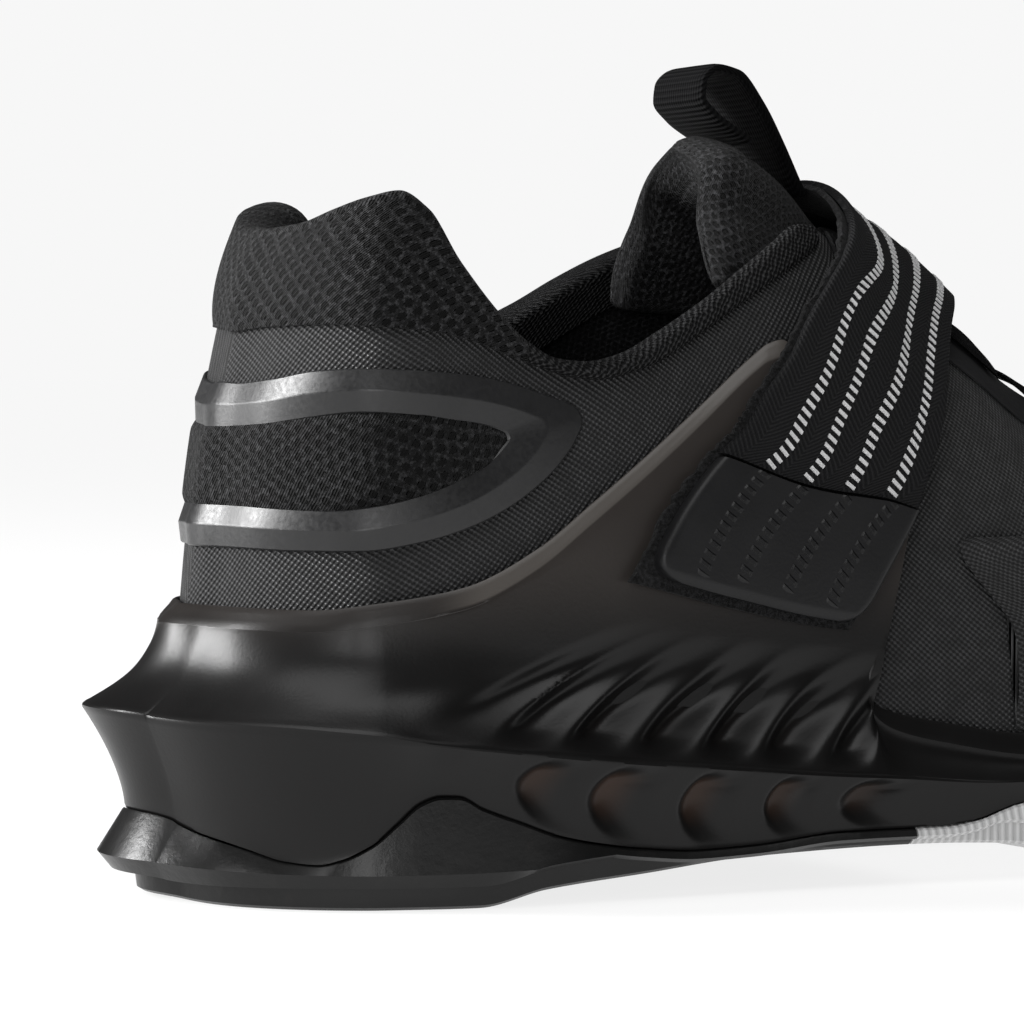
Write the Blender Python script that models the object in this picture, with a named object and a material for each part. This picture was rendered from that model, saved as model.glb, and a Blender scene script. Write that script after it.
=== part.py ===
"""A right weightlifting shoe, standing empty, in metres with +Z up, the toe along +X."""


import bmesh
import bpy
import numpy as np

# main sizes in metres
LENGTH = 0.300
WIDTH = 0.100
HEIGHT = 0.100
SEAM_X = -0.030

# walls, layers and gaps in metres
GAP = 0.0003
WALL = 0.0025
PAD = 0.0068
PANEL = 0.0010

# the upper's foot outline: x share of LENGTH, outer y and inner y shares of WIDTH
OUTLINE = [
    (0.005, 0.000, 0.000),
    (0.014, -0.070, 0.070),
    (0.023, -0.145, 0.145),
    (0.042, -0.225, 0.225),
    (0.070, -0.290, 0.290),
    (0.117, -0.335, 0.335),
    (0.173, -0.348, 0.338),
    (0.250, -0.353, 0.315),
    (0.333, -0.370, 0.300),
    (0.433, -0.420, 0.335),
    (0.533, -0.470, 0.400),
    (0.623, -0.494, 0.455),
    (0.707, -0.478, 0.475),
    (0.787, -0.420, 0.460),
    (0.853, -0.325, 0.415),
    (0.903, -0.205, 0.340),
    (0.937, -0.070, 0.240),
    (0.953, 0.080, 0.080),
]

# the upper's ribs: x share; feather z, crest y, crest z; first and second handles as inset and z
RIBS = [
    (0.005, 0.36, 0.00, 1.50, 0.10, 0.60, 0.12, 1.00),
    (0.023, 0.36, 0.00, 1.55, 0.06, 0.63, 0.08, 1.05),
    (0.070, 0.36, 0.00, 1.70, 0.00, 0.70, 0.00, 1.15),
    (0.167, 0.34, 0.00, 1.70, 0.00, 0.65, 0.10, 1.10),
    (0.250, 0.30, 0.00, 1.45, 0.00, 0.62, 0.10, 1.00),
    (0.307, 0.28, 0.00, 1.185, 0.00, 0.66, 0.17, 1.14),
    (0.337, 0.27, 0.00, 1.11, 0.00, 0.66, 0.20, 1.12),
    (0.367, 0.25, 0.00, 1.04, 0.00, 0.62, 0.25, 1.02),
    (0.397, 0.24, 0.00, 0.985, 0.00, 0.58, 0.30, 0.97),
    (0.428, 0.23, 0.00, 0.912, 0.00, 0.54, 0.32, 0.900),
    (0.463, 0.22, 0.01, 0.818, 0.00, 0.50, 0.35, 0.808),
    (0.505, 0.21, 0.02, 0.748, 0.00, 0.47, 0.39, 0.744),
    (0.533, 0.20, 0.02, 0.71, 0.00, 0.45, 0.42, 0.71),
    (0.583, 0.195, 0.03, 0.645, 0.00, 0.42, 0.44, 0.645),
    (0.633, 0.19, 0.04, 0.595, 0.00, 0.40, 0.45, 0.595),
    (0.773, 0.19, 0.06, 0.50, 0.00, 0.37, 0.50, 0.50),
    (0.953, 0.24, 0.06, 0.50, 0.00, 0.40, 0.50, 0.51),
]
CREST_REAR = 0.147
CREST_FRONT = 0.773


def curve(rows, at):
    """Smooth monotone curve through table rows whose first column is the position."""
    rows = np.asarray(rows, float)
    at = np.asarray(at, float)
    x = rows[:, 0]
    y = rows[:, 1:]
    step = np.diff(x)
    slope = np.diff(y, axis=0) / step[:, None]
    tangent = np.zeros_like(y)
    tangent[0] = slope[0]
    tangent[-1] = slope[-1]
    before = slope[:-1]
    after = slope[1:]
    same = before * after > 0
    safe_before = np.where(same, before, 1.0)
    safe_after = np.where(same, after, 1.0)
    w1 = (2 * step[1:] + step[:-1])[:, None]
    w2 = (step[1:] + 2 * step[:-1])[:, None]
    tangent[1:-1] = np.where(same, (w1 + w2) / (w1 / safe_before + w2 / safe_after), 0.0)
    at = np.clip(at, x[0], x[-1])
    k = np.clip(np.searchsorted(x, at, side="right") - 1, 0, len(step) - 1)
    h = step[k][..., None]
    t = ((at - x[k]) / step[k])[..., None]
    out = (2 * t**3 - 3 * t**2 + 1) * y[k] + (t**3 - 2 * t**2 + t) * h * tangent[k]
    out = out + (3 * t**2 - 2 * t**3) * y[k + 1] + (t**3 - t**2) * h * tangent[k + 1]
    return out[..., 0] if out.shape[-1] == 1 else out


def mirrored_outline():
    """Outline rows with one more row past the rear and past the toe, for smooth ends."""
    rows = [list(row) for row in OUTLINE]
    first = [rows[1][0], rows[1][2], rows[1][1]]
    last = [rows[-2][0], rows[-2][2], rows[-2][1]]
    return np.array([first] + rows + [last])


def size_outline():
    """Dense outline: steps 0 to 1 from the rear seam to the toe, x, outer y and inner y."""
    rows = mirrored_outline()
    rows[:, 0] = SEAM_X + rows[:, 0] * LENGTH
    rows[:, 1:] *= WIDTH
    legs = np.hypot(np.diff(rows[:, 0]), np.diff(rows[:, 1]))
    legs = (legs + np.hypot(np.diff(rows[:, 0]), np.diff(rows[:, 2]))) / 2
    knots = np.concatenate([[-legs[0]], np.cumsum(legs) - legs[0]])
    total = knots[-2]
    steps = np.linspace(0.0, 1.0, ALONG)
    dense = curve(np.column_stack([knots / total, rows]), steps)
    return steps, dense


ALONG = 721
AROUND = 121
STEPS, PLAN = size_outline()


def step_at(x_share):
    """Outline step of an x share."""
    x = SEAM_X + np.asarray(x_share, float) * LENGTH
    return np.interp(x, PLAN[:, 0], STEPS)


def x_share_of(step):
    """X share of LENGTH at an outline step."""
    return (np.interp(step, STEPS, PLAN[:, 0]) - SEAM_X) / LENGTH


def size_surface():
    """Points and outward normals of the upper's outer face, all round and from feather to crest."""
    share = (PLAN[:, 0] - SEAM_X) / LENGTH
    ribs = curve(RIBS, share)
    v = np.linspace(0.0, 1.0, AROUND)
    w = 1.0 - v
    sides = []
    crest_x = SEAM_X + LENGTH * np.clip(share, CREST_REAR, CREST_FRONT)
    for side in (1, 2):
        feather, crest_y, crest_z, r1, z1, r2, z2 = ribs.T
        r = 3 * r1[:, None] * w**2 * v + 3 * r2[:, None] * w * v**2 + v**3
        z = feather[:, None] * w**3 + 3 * z1[:, None] * w**2 * v
        z = (z + 3 * z2[:, None] * w * v**2 + crest_z[:, None] * v**3) * HEIGHT
        x = PLAN[:, 0][:, None] + r * (crest_x - PLAN[:, 0])[:, None]
        y = PLAN[:, side][:, None] + r * (crest_y * WIDTH - PLAN[:, side])[:, None]
        points = np.stack([x, y, z], axis=-1)
        girth = np.linalg.norm(np.diff(points, axis=1), axis=2)
        girth = np.concatenate([np.zeros((ALONG, 1)), np.cumsum(girth, axis=1)], axis=1)
        even = np.linspace(0.0, 1.0, AROUND)
        out = np.empty_like(points)
        for i in range(ALONG):
            for axis in range(3):
                out[i, :, axis] = np.interp(even * girth[i, -1], girth[i], points[i, :, axis])
        sides.append(out)
    ring = np.concatenate([sides[0], sides[1][-2:0:-1]], axis=0)
    along = np.roll(ring, -1, axis=0) - np.roll(ring, 1, axis=0)
    up = np.gradient(ring, axis=1)
    normal = np.cross(along, up)
    length = np.linalg.norm(normal, axis=2, keepdims=True)
    normal = normal / np.maximum(length, 1e-15)
    centre = ring.mean(axis=(0, 1))
    if np.sum(normal[:, 0] * (ring[:, 0] - centre)) < 0:
        normal = -normal
    mirror = (-np.arange(len(ring))) % len(ring)
    top = normal[:, -1] + normal[mirror, -1]
    top[:, 2] = np.maximum(top[:, 2], 1e-6)
    normal[:, -1] = top / np.linalg.norm(top, axis=1, keepdims=True)
    toe = np.abs(ring[:, -1, 0] - ring[ALONG - 1, -1, 0]) < 1e-7
    normal[toe, -1] = (0.0, 0.0, 1.0)
    return ring, normal


SKIN, SKIN_NORMAL = size_surface()


def place(side, step):
    """Position round the skin in rows, with side -1 outer and +1 inner."""
    step = np.asarray(step, float)
    around = step * (ALONG - 1)
    return np.where(np.asarray(side) < 0, around, (2 * (ALONG - 1) - around))


def sample(field, at, girth):
    """Value of a skin field at positions round it and girth shares."""
    at = np.asarray(at, float) % len(field)
    at, girth = np.broadcast_arrays(at, np.clip(girth, 0.0, 1.0))
    row = np.floor(at).astype(int)
    fx = (at - row)[..., None]
    g = girth * (AROUND - 1)
    col = np.minimum(np.floor(g).astype(int), AROUND - 2)
    fy = (g - col)[..., None]
    row = row % len(field)
    after = (row + 1) % len(field)
    low = field[row, col] * (1 - fx) + field[after, col] * fx
    high = field[row, col + 1] * (1 - fx) + field[after, col + 1] * fx
    return low * (1 - fy) + high * fy


def skin(side, step, girth, off=0.0):
    """Points of the upper's skin at a girth share, moved out by off."""
    at = place(side, step)
    normal = sample(SKIN_NORMAL, at, girth)
    normal = normal / np.linalg.norm(normal, axis=-1, keepdims=True)
    return sample(SKIN, at, girth) + normal * np.asarray(off, float)[..., None]


def girth_at(side, step, z):
    """Girth share where the skin reaches a height, negative heights below the feather give 0."""
    at = np.atleast_1d(place(side, step))
    z = np.broadcast_to(np.asarray(z, float), at.shape)
    even = np.linspace(0.0, 1.0, AROUND)
    out = np.empty(at.shape)
    for i in np.ndindex(at.shape):
        row = int(at[i]) % len(SKIN)
        after = (row + 1) % len(SKIN)
        part = at[i] - int(at[i])
        heights = SKIN[row, :, 2] * (1 - part) + SKIN[after, :, 2] * part
        heights = np.maximum.accumulate(heights)
        out[i] = np.interp(z[i], heights, even)
    return out


def wall(side, step, z, off=0.0):
    """Points on the skin at a height, straight down below the feather, moved out by off."""
    side, step, z, off = np.broadcast_arrays(side, step, z, off)
    girth = girth_at(side, step, z).reshape(z.shape)
    point = skin(side, step, girth, off)
    base = skin(side, step, np.zeros_like(girth))
    below = z < base[..., 2]
    point[..., 2] = np.where(below, z, point[..., 2])
    return point


def new_object(name, points, faces, colour, rough=0.6):
    """Mesh object in the shoe's collection, welded and facing out, with its own material."""
    mesh = bpy.data.meshes.new(name)
    mesh.from_pydata([tuple(p) for p in points], [], faces)
    work = bmesh.new()
    work.from_mesh(mesh)
    bmesh.ops.remove_doubles(work, verts=work.verts, dist=2e-6)
    bmesh.ops.dissolve_degenerate(work, edges=work.edges, dist=2e-6)
    bmesh.ops.triangulate(work, faces=work.faces)
    bmesh.ops.recalc_face_normals(work, faces=work.faces)
    if work.calc_volume(signed=True) < 0:
        bmesh.ops.reverse_faces(work, faces=work.faces)
    work.to_mesh(mesh)
    work.free()
    material = bpy.data.materials.new(name + "_material")
    material.use_nodes = True
    shader = material.node_tree.nodes["Principled BSDF"]
    shader.inputs["Base Color"].default_value = (*colour, 1.0)
    shader.inputs["Roughness"].default_value = rough
    mesh.materials.append(material)
    result = bpy.data.objects.new(name, mesh)
    SHOE.objects.link(result)
    return result


def tube_faces(rows, cols, wrap_rows, wrap_cols):
    """Quads of a grid of points, closed along either way."""
    faces = []
    for i in range(rows if wrap_rows else rows - 1):
        for j in range(cols if wrap_cols else cols - 1):
            a = i * cols + j
            b = i * cols + (j + 1) % cols
            c = ((i + 1) % rows) * cols + (j + 1) % cols
            d = ((i + 1) % rows) * cols + j
            faces.append((a, b, c, d))
    return faces


def loft(name, grid, wrap_rows, colour, rough=0.6):
    """Solid from closed sections in rows, with flat end caps when the rows do not close."""
    rows, cols = grid.shape[:2]
    faces = tube_faces(rows, cols, wrap_rows, True)
    if not wrap_rows:
        faces.append(tuple(range(cols)))
        faces.append(tuple((rows - 1) * cols + j for j in reversed(range(cols))))
    return new_object(name, grid.reshape(-1, 3), faces, colour, rough)


def slab(outer, inner):
    """Sections of a sheet: each row's outer points followed by its inner points backwards."""
    return np.concatenate([outer, inner[:, ::-1]], axis=1)


def round_trip(shares):
    """Sides and steps of columns all round, from the rear along the outer side and back."""
    steps = step_at(shares)
    steps[0] = 0.0
    steps[-1] = 1.0
    sides = np.concatenate([np.full(len(steps), -1.0), np.full(len(steps) - 2, 1.0)])
    return sides, np.concatenate([steps, steps[-2:0:-1]])


# footbed: x share, z share
FOOTBED = [
    (0.005, 0.310),
    (0.200, 0.290),
    (0.333, 0.230),
    (0.420, 0.165),
    (0.533, 0.125),
    (0.707, 0.125),
    (0.853, 0.165),
    (0.953, 0.210),
]
# floor side of the tread: x share, z share
TREAD = [
    (0.005, 0.006),
    (0.020, 0.000),
    (0.115, 0.000),
    (0.150, 0.022),
    (0.207, 0.038),
    (0.263, 0.053),
    (0.360, 0.060),
    (0.413, 0.055),
    (0.460, 0.022),
    (0.500, 0.000),
    (0.700, 0.000),
    (0.787, 0.018),
    (0.853, 0.050),
    (0.903, 0.090),
    (0.953, 0.140),
]
# wavy edge between outsole and midsole: x share, z share
WAVE = [
    (0.005, 0.133),
    (0.013, 0.122),
    (0.020, 0.106),
    (0.030, 0.088),
    (0.040, 0.073),
    (0.050, 0.069),
    (0.058, 0.077),
    (0.067, 0.096),
    (0.078, 0.130),
    (0.088, 0.160),
    (0.096, 0.169),
    (0.104, 0.168),
    (0.114, 0.150),
    (0.133, 0.127),
    (0.153, 0.104),
    (0.173, 0.090),
    (0.197, 0.079),
    (0.230, 0.071),
    (0.263, 0.074),
    (0.313, 0.087),
    (0.373, 0.089),
    (0.390, 0.096),
    (0.413, 0.119),
    (0.450, 0.135),
    (0.707, 0.135),
    (0.853, 0.175),
    (0.953, 0.230),
]
# height of the joint between outsole and midsole inside the edge: x share, z share
JOINT = [
    (0.005, 0.090),
    (0.200, 0.090),
    (0.360, 0.100),
    (0.500, 0.060),
    (0.707, 0.060),
    (0.853, 0.100),
    (0.953, 0.170),
]
# side of the sole: x share, ridge out, ridge z, foot out of the midsole (all shares)
RIDGE = [
    (0.005, 0.148, 0.291, 0.080),
    (0.014, 0.144, 0.284, 0.079),
    (0.023, 0.139, 0.280, 0.076),
    (0.042, 0.130, 0.277, 0.066),
    (0.063, 0.119, 0.269, 0.056),
    (0.093, 0.102, 0.250, 0.050),
    (0.120, 0.091, 0.238, 0.050),
    (0.147, 0.086, 0.228, 0.050),
    (0.190, 0.082, 0.213, 0.050),
    (0.247, 0.076, 0.196, 0.052),
    (0.303, 0.074, 0.179, 0.055),
    (0.347, 0.070, 0.169, 0.055),
    (0.413, 0.058, 0.155, 0.048),
    (0.533, 0.048, 0.160, 0.042),
    (0.707, 0.048, 0.162, 0.042),
    (0.853, 0.052, 0.205, 0.045),
    (0.953, 0.060, 0.265, 0.048),
]
# rim of the outsole: x share, out at its top, out at its rim, rim z (shares)
RIM = [
    (0.005, 0.084, 0.122, 0.066),
    (0.014, 0.083, 0.121, 0.064),
    (0.023, 0.080, 0.114, 0.062),
    (0.036, 0.073, 0.092, 0.058),
    (0.058, 0.060, 0.066, 0.055),
    (0.200, 0.053, 0.058, 0.060),
    (0.360, 0.058, 0.062, 0.080),
    (0.533, 0.046, 0.052, 0.060),
    (0.853, 0.048, 0.054, 0.100),
    (0.953, 0.050, 0.056, 0.180),
]
# outer top edge of the midsole: x share at the ridge, x share and z share at the edge
OUTER_TOP = [
    (0.005, 0.005, 0.440),
    (0.042, 0.042, 0.439),
    (0.070, 0.070, 0.450),
    (0.103, 0.110, 0.473),
    (0.133, 0.147, 0.525),
    (0.160, 0.180, 0.595),
    (0.187, 0.215, 0.670),
    (0.210, 0.249, 0.745),
    (0.226, 0.279, 0.813),
    (0.236, 0.289, 0.832),
    (0.247, 0.297, 0.838),
    (0.257, 0.303, 0.828),
    (0.267, 0.308, 0.800),
    (0.287, 0.330, 0.735),
    (0.307, 0.366, 0.660),
    (0.317, 0.366, 0.610),
    (0.324, 0.359, 0.530),
    (0.330, 0.350, 0.450),
    (0.335, 0.339, 0.380),
    (0.340, 0.333, 0.340),
    (0.346, 0.332, 0.305),
    (0.354, 0.338, 0.280),
    (0.366, 0.352, 0.262),
    (0.384, 0.377, 0.246),
    (0.420, 0.420, 0.225),
    (0.533, 0.533, 0.205),
    (0.707, 0.707, 0.205),
    (0.853, 0.853, 0.250),
    (0.953, 0.953, 0.300),
]
# inner top edge of the midsole, in the same columns
INNER_TOP = [
    (0.005, 0.005, 0.440),
    (0.042, 0.042, 0.439),
    (0.070, 0.070, 0.445),
    (0.133, 0.138, 0.475),
    (0.187, 0.200, 0.530),
    (0.247, 0.268, 0.590),
    (0.290, 0.318, 0.570),
    (0.325, 0.348, 0.470),
    (0.355, 0.366, 0.340),
    (0.420, 0.420, 0.235),
    (0.533, 0.533, 0.205),
    (0.707, 0.707, 0.205),
    (0.853, 0.853, 0.250),
    (0.953, 0.953, 0.300),
]
FLARE_HEIGHT = 0.15
CUP_WALL = 0.0019
REAR_WALL = 0.0016
CUP_GAP = 0.00045
BEVEL = 0.0024
INSIDE = 0.008
SPINE_REAR = 0.110
SPINE_FRONT = 0.860
TREAD_LAYER = 0.0035
FLUTE_RISE = 0.016

# slanted flutes above the ridge: x share at the ridge, width share, x share gained at their top
FLUTES = [
    (0.105, 0.034, 0.045),
    (0.150, 0.024, 0.034),
    (0.192, 0.022, 0.030),
    (0.230, 0.022, 0.030),
    (0.268, 0.022, 0.030),
    (0.306, 0.020, 0.024),
]
# pits below the ridge: x share of the middle, width share
PITS = [
    (0.140, 0.022),
    (0.172, 0.026),
    (0.212, 0.022),
    (0.252, 0.020),
    (0.292, 0.030),
]
FLUTE_DEPTH = 0.0016
PIT_DEPTH = 0.0018


def side_table(side, outer, inner, at):
    """Rows of the outer or the inner table, picked by side."""
    pick = np.asarray(side) < 0
    return np.where(pick[..., None], curve(outer, at), curve(inner, at))


def spine(step, z):
    """Points along the middle line of the sole at a height."""
    share = np.clip(x_share_of(step), SPINE_REAR, SPINE_FRONT)
    at = step_at(share)
    outer_y = np.interp(at, STEPS, PLAN[:, 1])
    inner_y = np.interp(at, STEPS, PLAN[:, 2])
    z = np.broadcast_to(z, share.shape)
    return np.stack([SEAM_X + share * LENGTH, (outer_y + inner_y) / 2, z], axis=-1)


def flat(side, step, out, z):
    """Points beside the foot outline, out from it in plan, at a height."""
    at = place(side, step)
    zero = np.zeros_like(at)
    base = sample(SKIN, at, zero)
    normal = sample(SKIN_NORMAL, at, zero)
    normal[..., 2] = 0.0
    normal = normal / np.linalg.norm(normal, axis=-1, keepdims=True)
    point = base + normal * np.asarray(out, float)[..., None]
    point[..., 2] = z
    return point


def joint_angle(step):
    """Slope of the joint between its inner level and the wavy edge."""
    share = x_share_of(step)
    rise = (curve(WAVE, share) - curve(JOINT, share)) * HEIGHT
    return np.arctan2(rise, 0.003)


def flute_cut(share, rise):
    """Depth of the flutes at x shares and at a height over the ridge in shares of FLUTE_RISE."""
    depth = np.zeros(np.broadcast(share, rise).shape)
    for start, width, gain in FLUTES:
        middle = start + width / 2 + gain * rise
        across = np.abs(share - middle) / (width / 2)
        edge = np.clip((1.0 - across) * 3.0, 0.0, 1.0)
        ends = np.clip(rise * 8.0 - 1.0, 0.0, 1.0) * np.clip((1.25 - rise) * 4.0, 0.0, 1.0)
        depth = np.maximum(depth, FLUTE_DEPTH * edge * ends * (rise > 0))
    return depth


def midsole_sections(sides, steps):
    """Half sections of the midsole from the footbed's middle to the joint's middle."""
    share = x_share_of(steps)
    top = side_table(sides, OUTER_TOP, INNER_TOP, share)
    ridge = curve(RIDGE, share)
    wave = curve(WAVE, share) * HEIGHT
    joint = curve(JOINT, share) * HEIGHT
    footbed = curve(FOOTBED, share) * HEIGHT
    top_step = step_at(top[:, 0])
    top_step = np.where(share < 0.006, steps, top_step)
    top_step = np.where(share > 0.952, steps, top_step)
    top_z = top[:, 1] * HEIGHT
    ridge_z = ridge[:, 1] * HEIGHT
    ridge_out = ridge[:, 0] * WIDTH
    foot_out = ridge[:, 2] * WIDTH
    flare = np.minimum(FLARE_HEIGHT * HEIGHT, top_z - BEVEL - ridge_z)
    columns = [spine(steps, curve(FOOTBED, np.clip(share, SPINE_REAR, SPINE_FRONT)) * HEIGHT)]

    def leaned(z):
        part = np.clip((z - ridge_z) / (top_z - ridge_z), 0.0, 1.0)
        return steps + (top_step - steps) * part

    columns.append(wall(sides, leaned(footbed), footbed, CUP_GAP))
    feather = curve(RIBS, share)[:, 0] * HEIGHT
    feather = np.clip(feather, footbed + 0.001, top_z - 0.001)
    columns.append(wall(sides, leaned(feather), feather, CUP_GAP))
    for part in (0.33, 0.66, 1.0):
        z = feather + (top_z - feather) * part
        columns.append(wall(sides, leaned(z), z, CUP_GAP))
    thick = CUP_WALL + REAR_WALL * np.clip((0.06 - share) / 0.05, 0.0, 1.0)
    columns.append(wall(sides, leaned(top_z), top_z, CUP_GAP + 0.0005))
    columns.append(wall(sides, leaned(top_z - BEVEL), top_z - BEVEL, thick))
    start = top_z - BEVEL
    end = ridge_z + flare
    for part in (0.5, 1.0):
        z = start + (end - start) * part
        columns.append(wall(sides, leaned(z), z, thick + 0.0001 * part))
    for part in (0.25, 0.5, 0.72, 0.88, 1.0):
        z = end - flare * part
        out = thick + (ridge_out - thick) * part**2.2
        cut = flute_cut(share, (z - ridge_z) / FLUTE_RISE) if part < 1.0 else 0.0
        columns.append(wall(sides, leaned(z), z, out - cut))
    for part in (0.18, 0.45, 0.75):
        z = ridge_z + (wave - ridge_z) * part
        out = foot_out + (ridge_out - foot_out) * (1 - part) ** 1.6
        pit = np.zeros_like(share)
        for middle, width in PITS:
            pit = np.maximum(pit, np.clip((1 - np.abs(share - middle) / (width / 2)) * 3, 0, 1))
        out = out - pit * PIT_DEPTH * (0.18 < part < 0.7)
        columns.append(flat(sides, steps, out, z))
    angle = joint_angle(steps)
    half = 0.55 * GAP
    columns.append(flat(sides, steps, foot_out - half * np.sin(angle), wave + half * np.cos(angle)))
    mitre = half * np.tan(angle / 2)
    columns.append(flat(sides, steps, foot_out - 0.003 - mitre, joint + half))
    columns.append(flat(sides, steps, np.full_like(share, -INSIDE), joint + half))
    middle = curve(JOINT, np.clip(share, SPINE_REAR, SPINE_FRONT)) * HEIGHT
    columns.append(spine(steps, middle + half))
    return np.stack(columns, axis=1)


def outsole_sections(sides, steps):
    """Half sections of the outsole from the joint's middle to the tread's middle."""
    share = x_share_of(steps)
    ridge = curve(RIDGE, share)
    rim = curve(RIM, share)
    wave = curve(WAVE, share) * HEIGHT
    joint = curve(JOINT, share) * HEIGHT
    tread = curve(TREAD, share) * HEIGHT
    foot_out = ridge[:, 2] * WIDTH
    top_out = rim[:, 0] * WIDTH
    rim_out = rim[:, 1] * WIDTH
    angle = joint_angle(steps)
    half = 0.55 * GAP
    mitre = half * np.tan(angle / 2)
    middle = np.clip(share, SPINE_REAR, SPINE_FRONT)
    columns = [spine(steps, curve(JOINT, middle) * HEIGHT - half)]
    columns.append(flat(sides, steps, np.full_like(share, -INSIDE), joint - half))
    columns.append(flat(sides, steps, foot_out - 0.003 + mitre, joint - half))
    columns.append(flat(sides, steps, foot_out + half * np.sin(angle), wave - half * np.cos(angle)))
    columns.append(flat(sides, steps, top_out, wave - 0.0004))
    rim_z = np.clip(rim[:, 2] * HEIGHT, tread + TREAD_LAYER + 0.0006, wave - 0.0012)
    columns.append(flat(sides, steps, rim_out, rim_z))
    low = np.minimum(tread + TREAD_LAYER, rim_z - 0.0006)
    columns.append(flat(sides, steps, rim_out - 0.0008 - 0.3 * (rim_out - foot_out), low))
    columns.append(flat(sides, steps, foot_out - 0.0014, low))
    columns.append(flat(sides, steps, foot_out - 0.0018, tread + 0.0005))
    columns.append(flat(sides, steps, foot_out - 0.0026, tread))
    columns.append(flat(sides, steps, np.full_like(share, -INSIDE), tread))
    columns.append(spine(steps, curve(TREAD, middle) * HEIGHT))
    return np.stack(columns, axis=1)


def half_loft(name, sections, closed, colour, rough=0.6):
    """Solid from half sections whose ends lie on the middle line, all round or part of the way."""
    rows, cols = sections.shape[:2]
    faces = tube_faces(rows, cols, closed, False)
    if not closed:
        first = list(range(cols))
        last = [(rows - 1) * cols + j for j in range(cols)]
        faces.append(tuple(first + last[::-1]))
    return new_object(name, sections.reshape(-1, 3), faces, colour, rough)


# edge of the upper at the collar, above each outline x share: x, outer z, inner z
COLLAR = [
    (0.005, 1.015, 1.015),
    (0.020, 1.020, 1.020),
    (0.040, 1.040, 1.040),
    (0.060, 1.058, 1.058),
    (0.076, 1.066, 1.066),
    (0.093, 1.039, 1.042),
    (0.110, 0.965, 0.975),
    (0.134, 0.884, 0.900),
    (0.149, 0.845, 0.868),
    (0.167, 0.816, 0.848),
    (0.185, 0.811, 0.848),
    (0.209, 0.825, 0.868),
    (0.235, 0.863, 0.905),
    (0.259, 0.905, 0.948),
    (0.284, 0.955, 0.985),
    (0.308, 0.999, 1.012),
    (0.326, 1.025, 1.028),
    (0.338, 1.023, 1.025),
]
CORNER = 0.338
THROAT_END = 0.650
# half width of the throat along the skin: x share, share of WIDTH
THROAT = [
    (0.338, 0.215),
    (0.360, 0.190),
    (0.400, 0.175),
    (0.500, 0.170),
    (0.590, 0.155),
    (0.630, 0.115),
    (0.645, 0.060),
    (0.650, 0.000),
]
# lower line of the collar panel and rim: x share, z share
PANEL_LINE = [
    (0.005, 0.850),
    (0.020, 0.857),
    (0.045, 0.860),
    (0.075, 0.855),
    (0.100, 0.847),
    (0.124, 0.828),
    (0.139, 0.812),
    (0.153, 0.798),
    (0.172, 0.782),
    (0.187, 0.778),
    (0.215, 0.795),
    (0.247, 0.840),
    (0.288, 0.912),
    (0.334, 0.988),
]


def skin_length(side, step):
    """Length of the skin from feather to crest."""
    at = np.atleast_1d(place(side, step))
    out = np.empty(at.shape)
    for i in np.ndindex(at.shape):
        row = SKIN[int(round(float(at[i]))) % len(SKIN)]
        out[i] = np.sum(np.linalg.norm(np.diff(row, axis=0), axis=1))
    return out


def edge_girth(sides, steps, drop=0.0):
    """Girth share of the upper's top edge, dropped by a length along the skin."""
    share = x_share_of(steps)
    collar = np.where(sides < 0, curve(COLLAR, share)[:, 0], curve(COLLAR, share)[:, 1])
    by_height = girth_at(sides, steps, collar * HEIGHT)
    length = skin_length(sides, steps)
    throat = 1.0 - curve(THROAT, share) * WIDTH / length
    edge = np.where(share <= CORNER, by_height, throat)
    open_here = edge < 0.999
    return np.where(open_here, edge - drop / length, 1.0)


def padding(share, height_share):
    """Thickness of the upper's wall at an x share and a share of its edge's girth."""
    along = np.clip((0.30 - share) / 0.09, 0.0, 1.0)
    up = np.clip((height_share - 0.35) / 0.35, 0.0, 1.0)
    soft = along * along * (3 - 2 * along) * up * up * (3 - 2 * up)
    return WALL + (PAD - WALL) * soft


TOP_DROP = 0.0013


def upper_grid(sides, steps, levels):
    """Outer and inner points of the upper for columns all round."""
    share = x_share_of(steps)
    edge = edge_girth(sides, steps, TOP_DROP * (share <= CORNER + 0.002))
    is_open = edge < 0.999
    floor = curve(FOOTBED, share) * HEIGHT + 2 * GAP
    outer = [wall(sides, steps, floor, 0.0)]
    inner = [wall(sides, steps, floor, -WALL * np.ones_like(share))]
    length = skin_length(sides, steps)
    last = np.where(is_open, edge - 0.0015 / length, 1.0)
    for level in levels:
        girth = last * level
        thick = padding(share, level)
        outer.append(skin(sides, steps, girth, np.zeros_like(share)))
        inner.append(skin(sides, steps, girth, -thick))
    thick = padding(share, 1.0)
    outer.append(skin(sides, steps, edge, np.where(is_open, -0.25 * thick, 0.0)))
    inner.append(skin(sides, steps, edge, np.where(is_open, -0.75 * thick, -thick)))
    return np.stack(outer, axis=1), np.stack(inner, axis=1), is_open


def build_upper(sides, steps, levels):
    """One hollow shell, open at the collar, down the throat and underneath."""
    outer, inner, is_open = upper_grid(sides, steps, levels)
    grid = np.concatenate([outer, inner[:, ::-1]], axis=1)
    rows, cols = grid.shape[:2]
    level_count = outer.shape[1]
    faces = []
    for i in range(rows):
        k = (i + 1) % rows
        for j in range(cols):
            m = (j + 1) % cols
            if j == level_count - 1 and not (is_open[i] or is_open[k]):
                continue
            faces.append((i * cols + j, i * cols + m, k * cols + m, k * cols + j))
    return new_object("upper", grid.reshape(-1, 3), faces, (0.05, 0.05, 0.055), 0.85)


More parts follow.
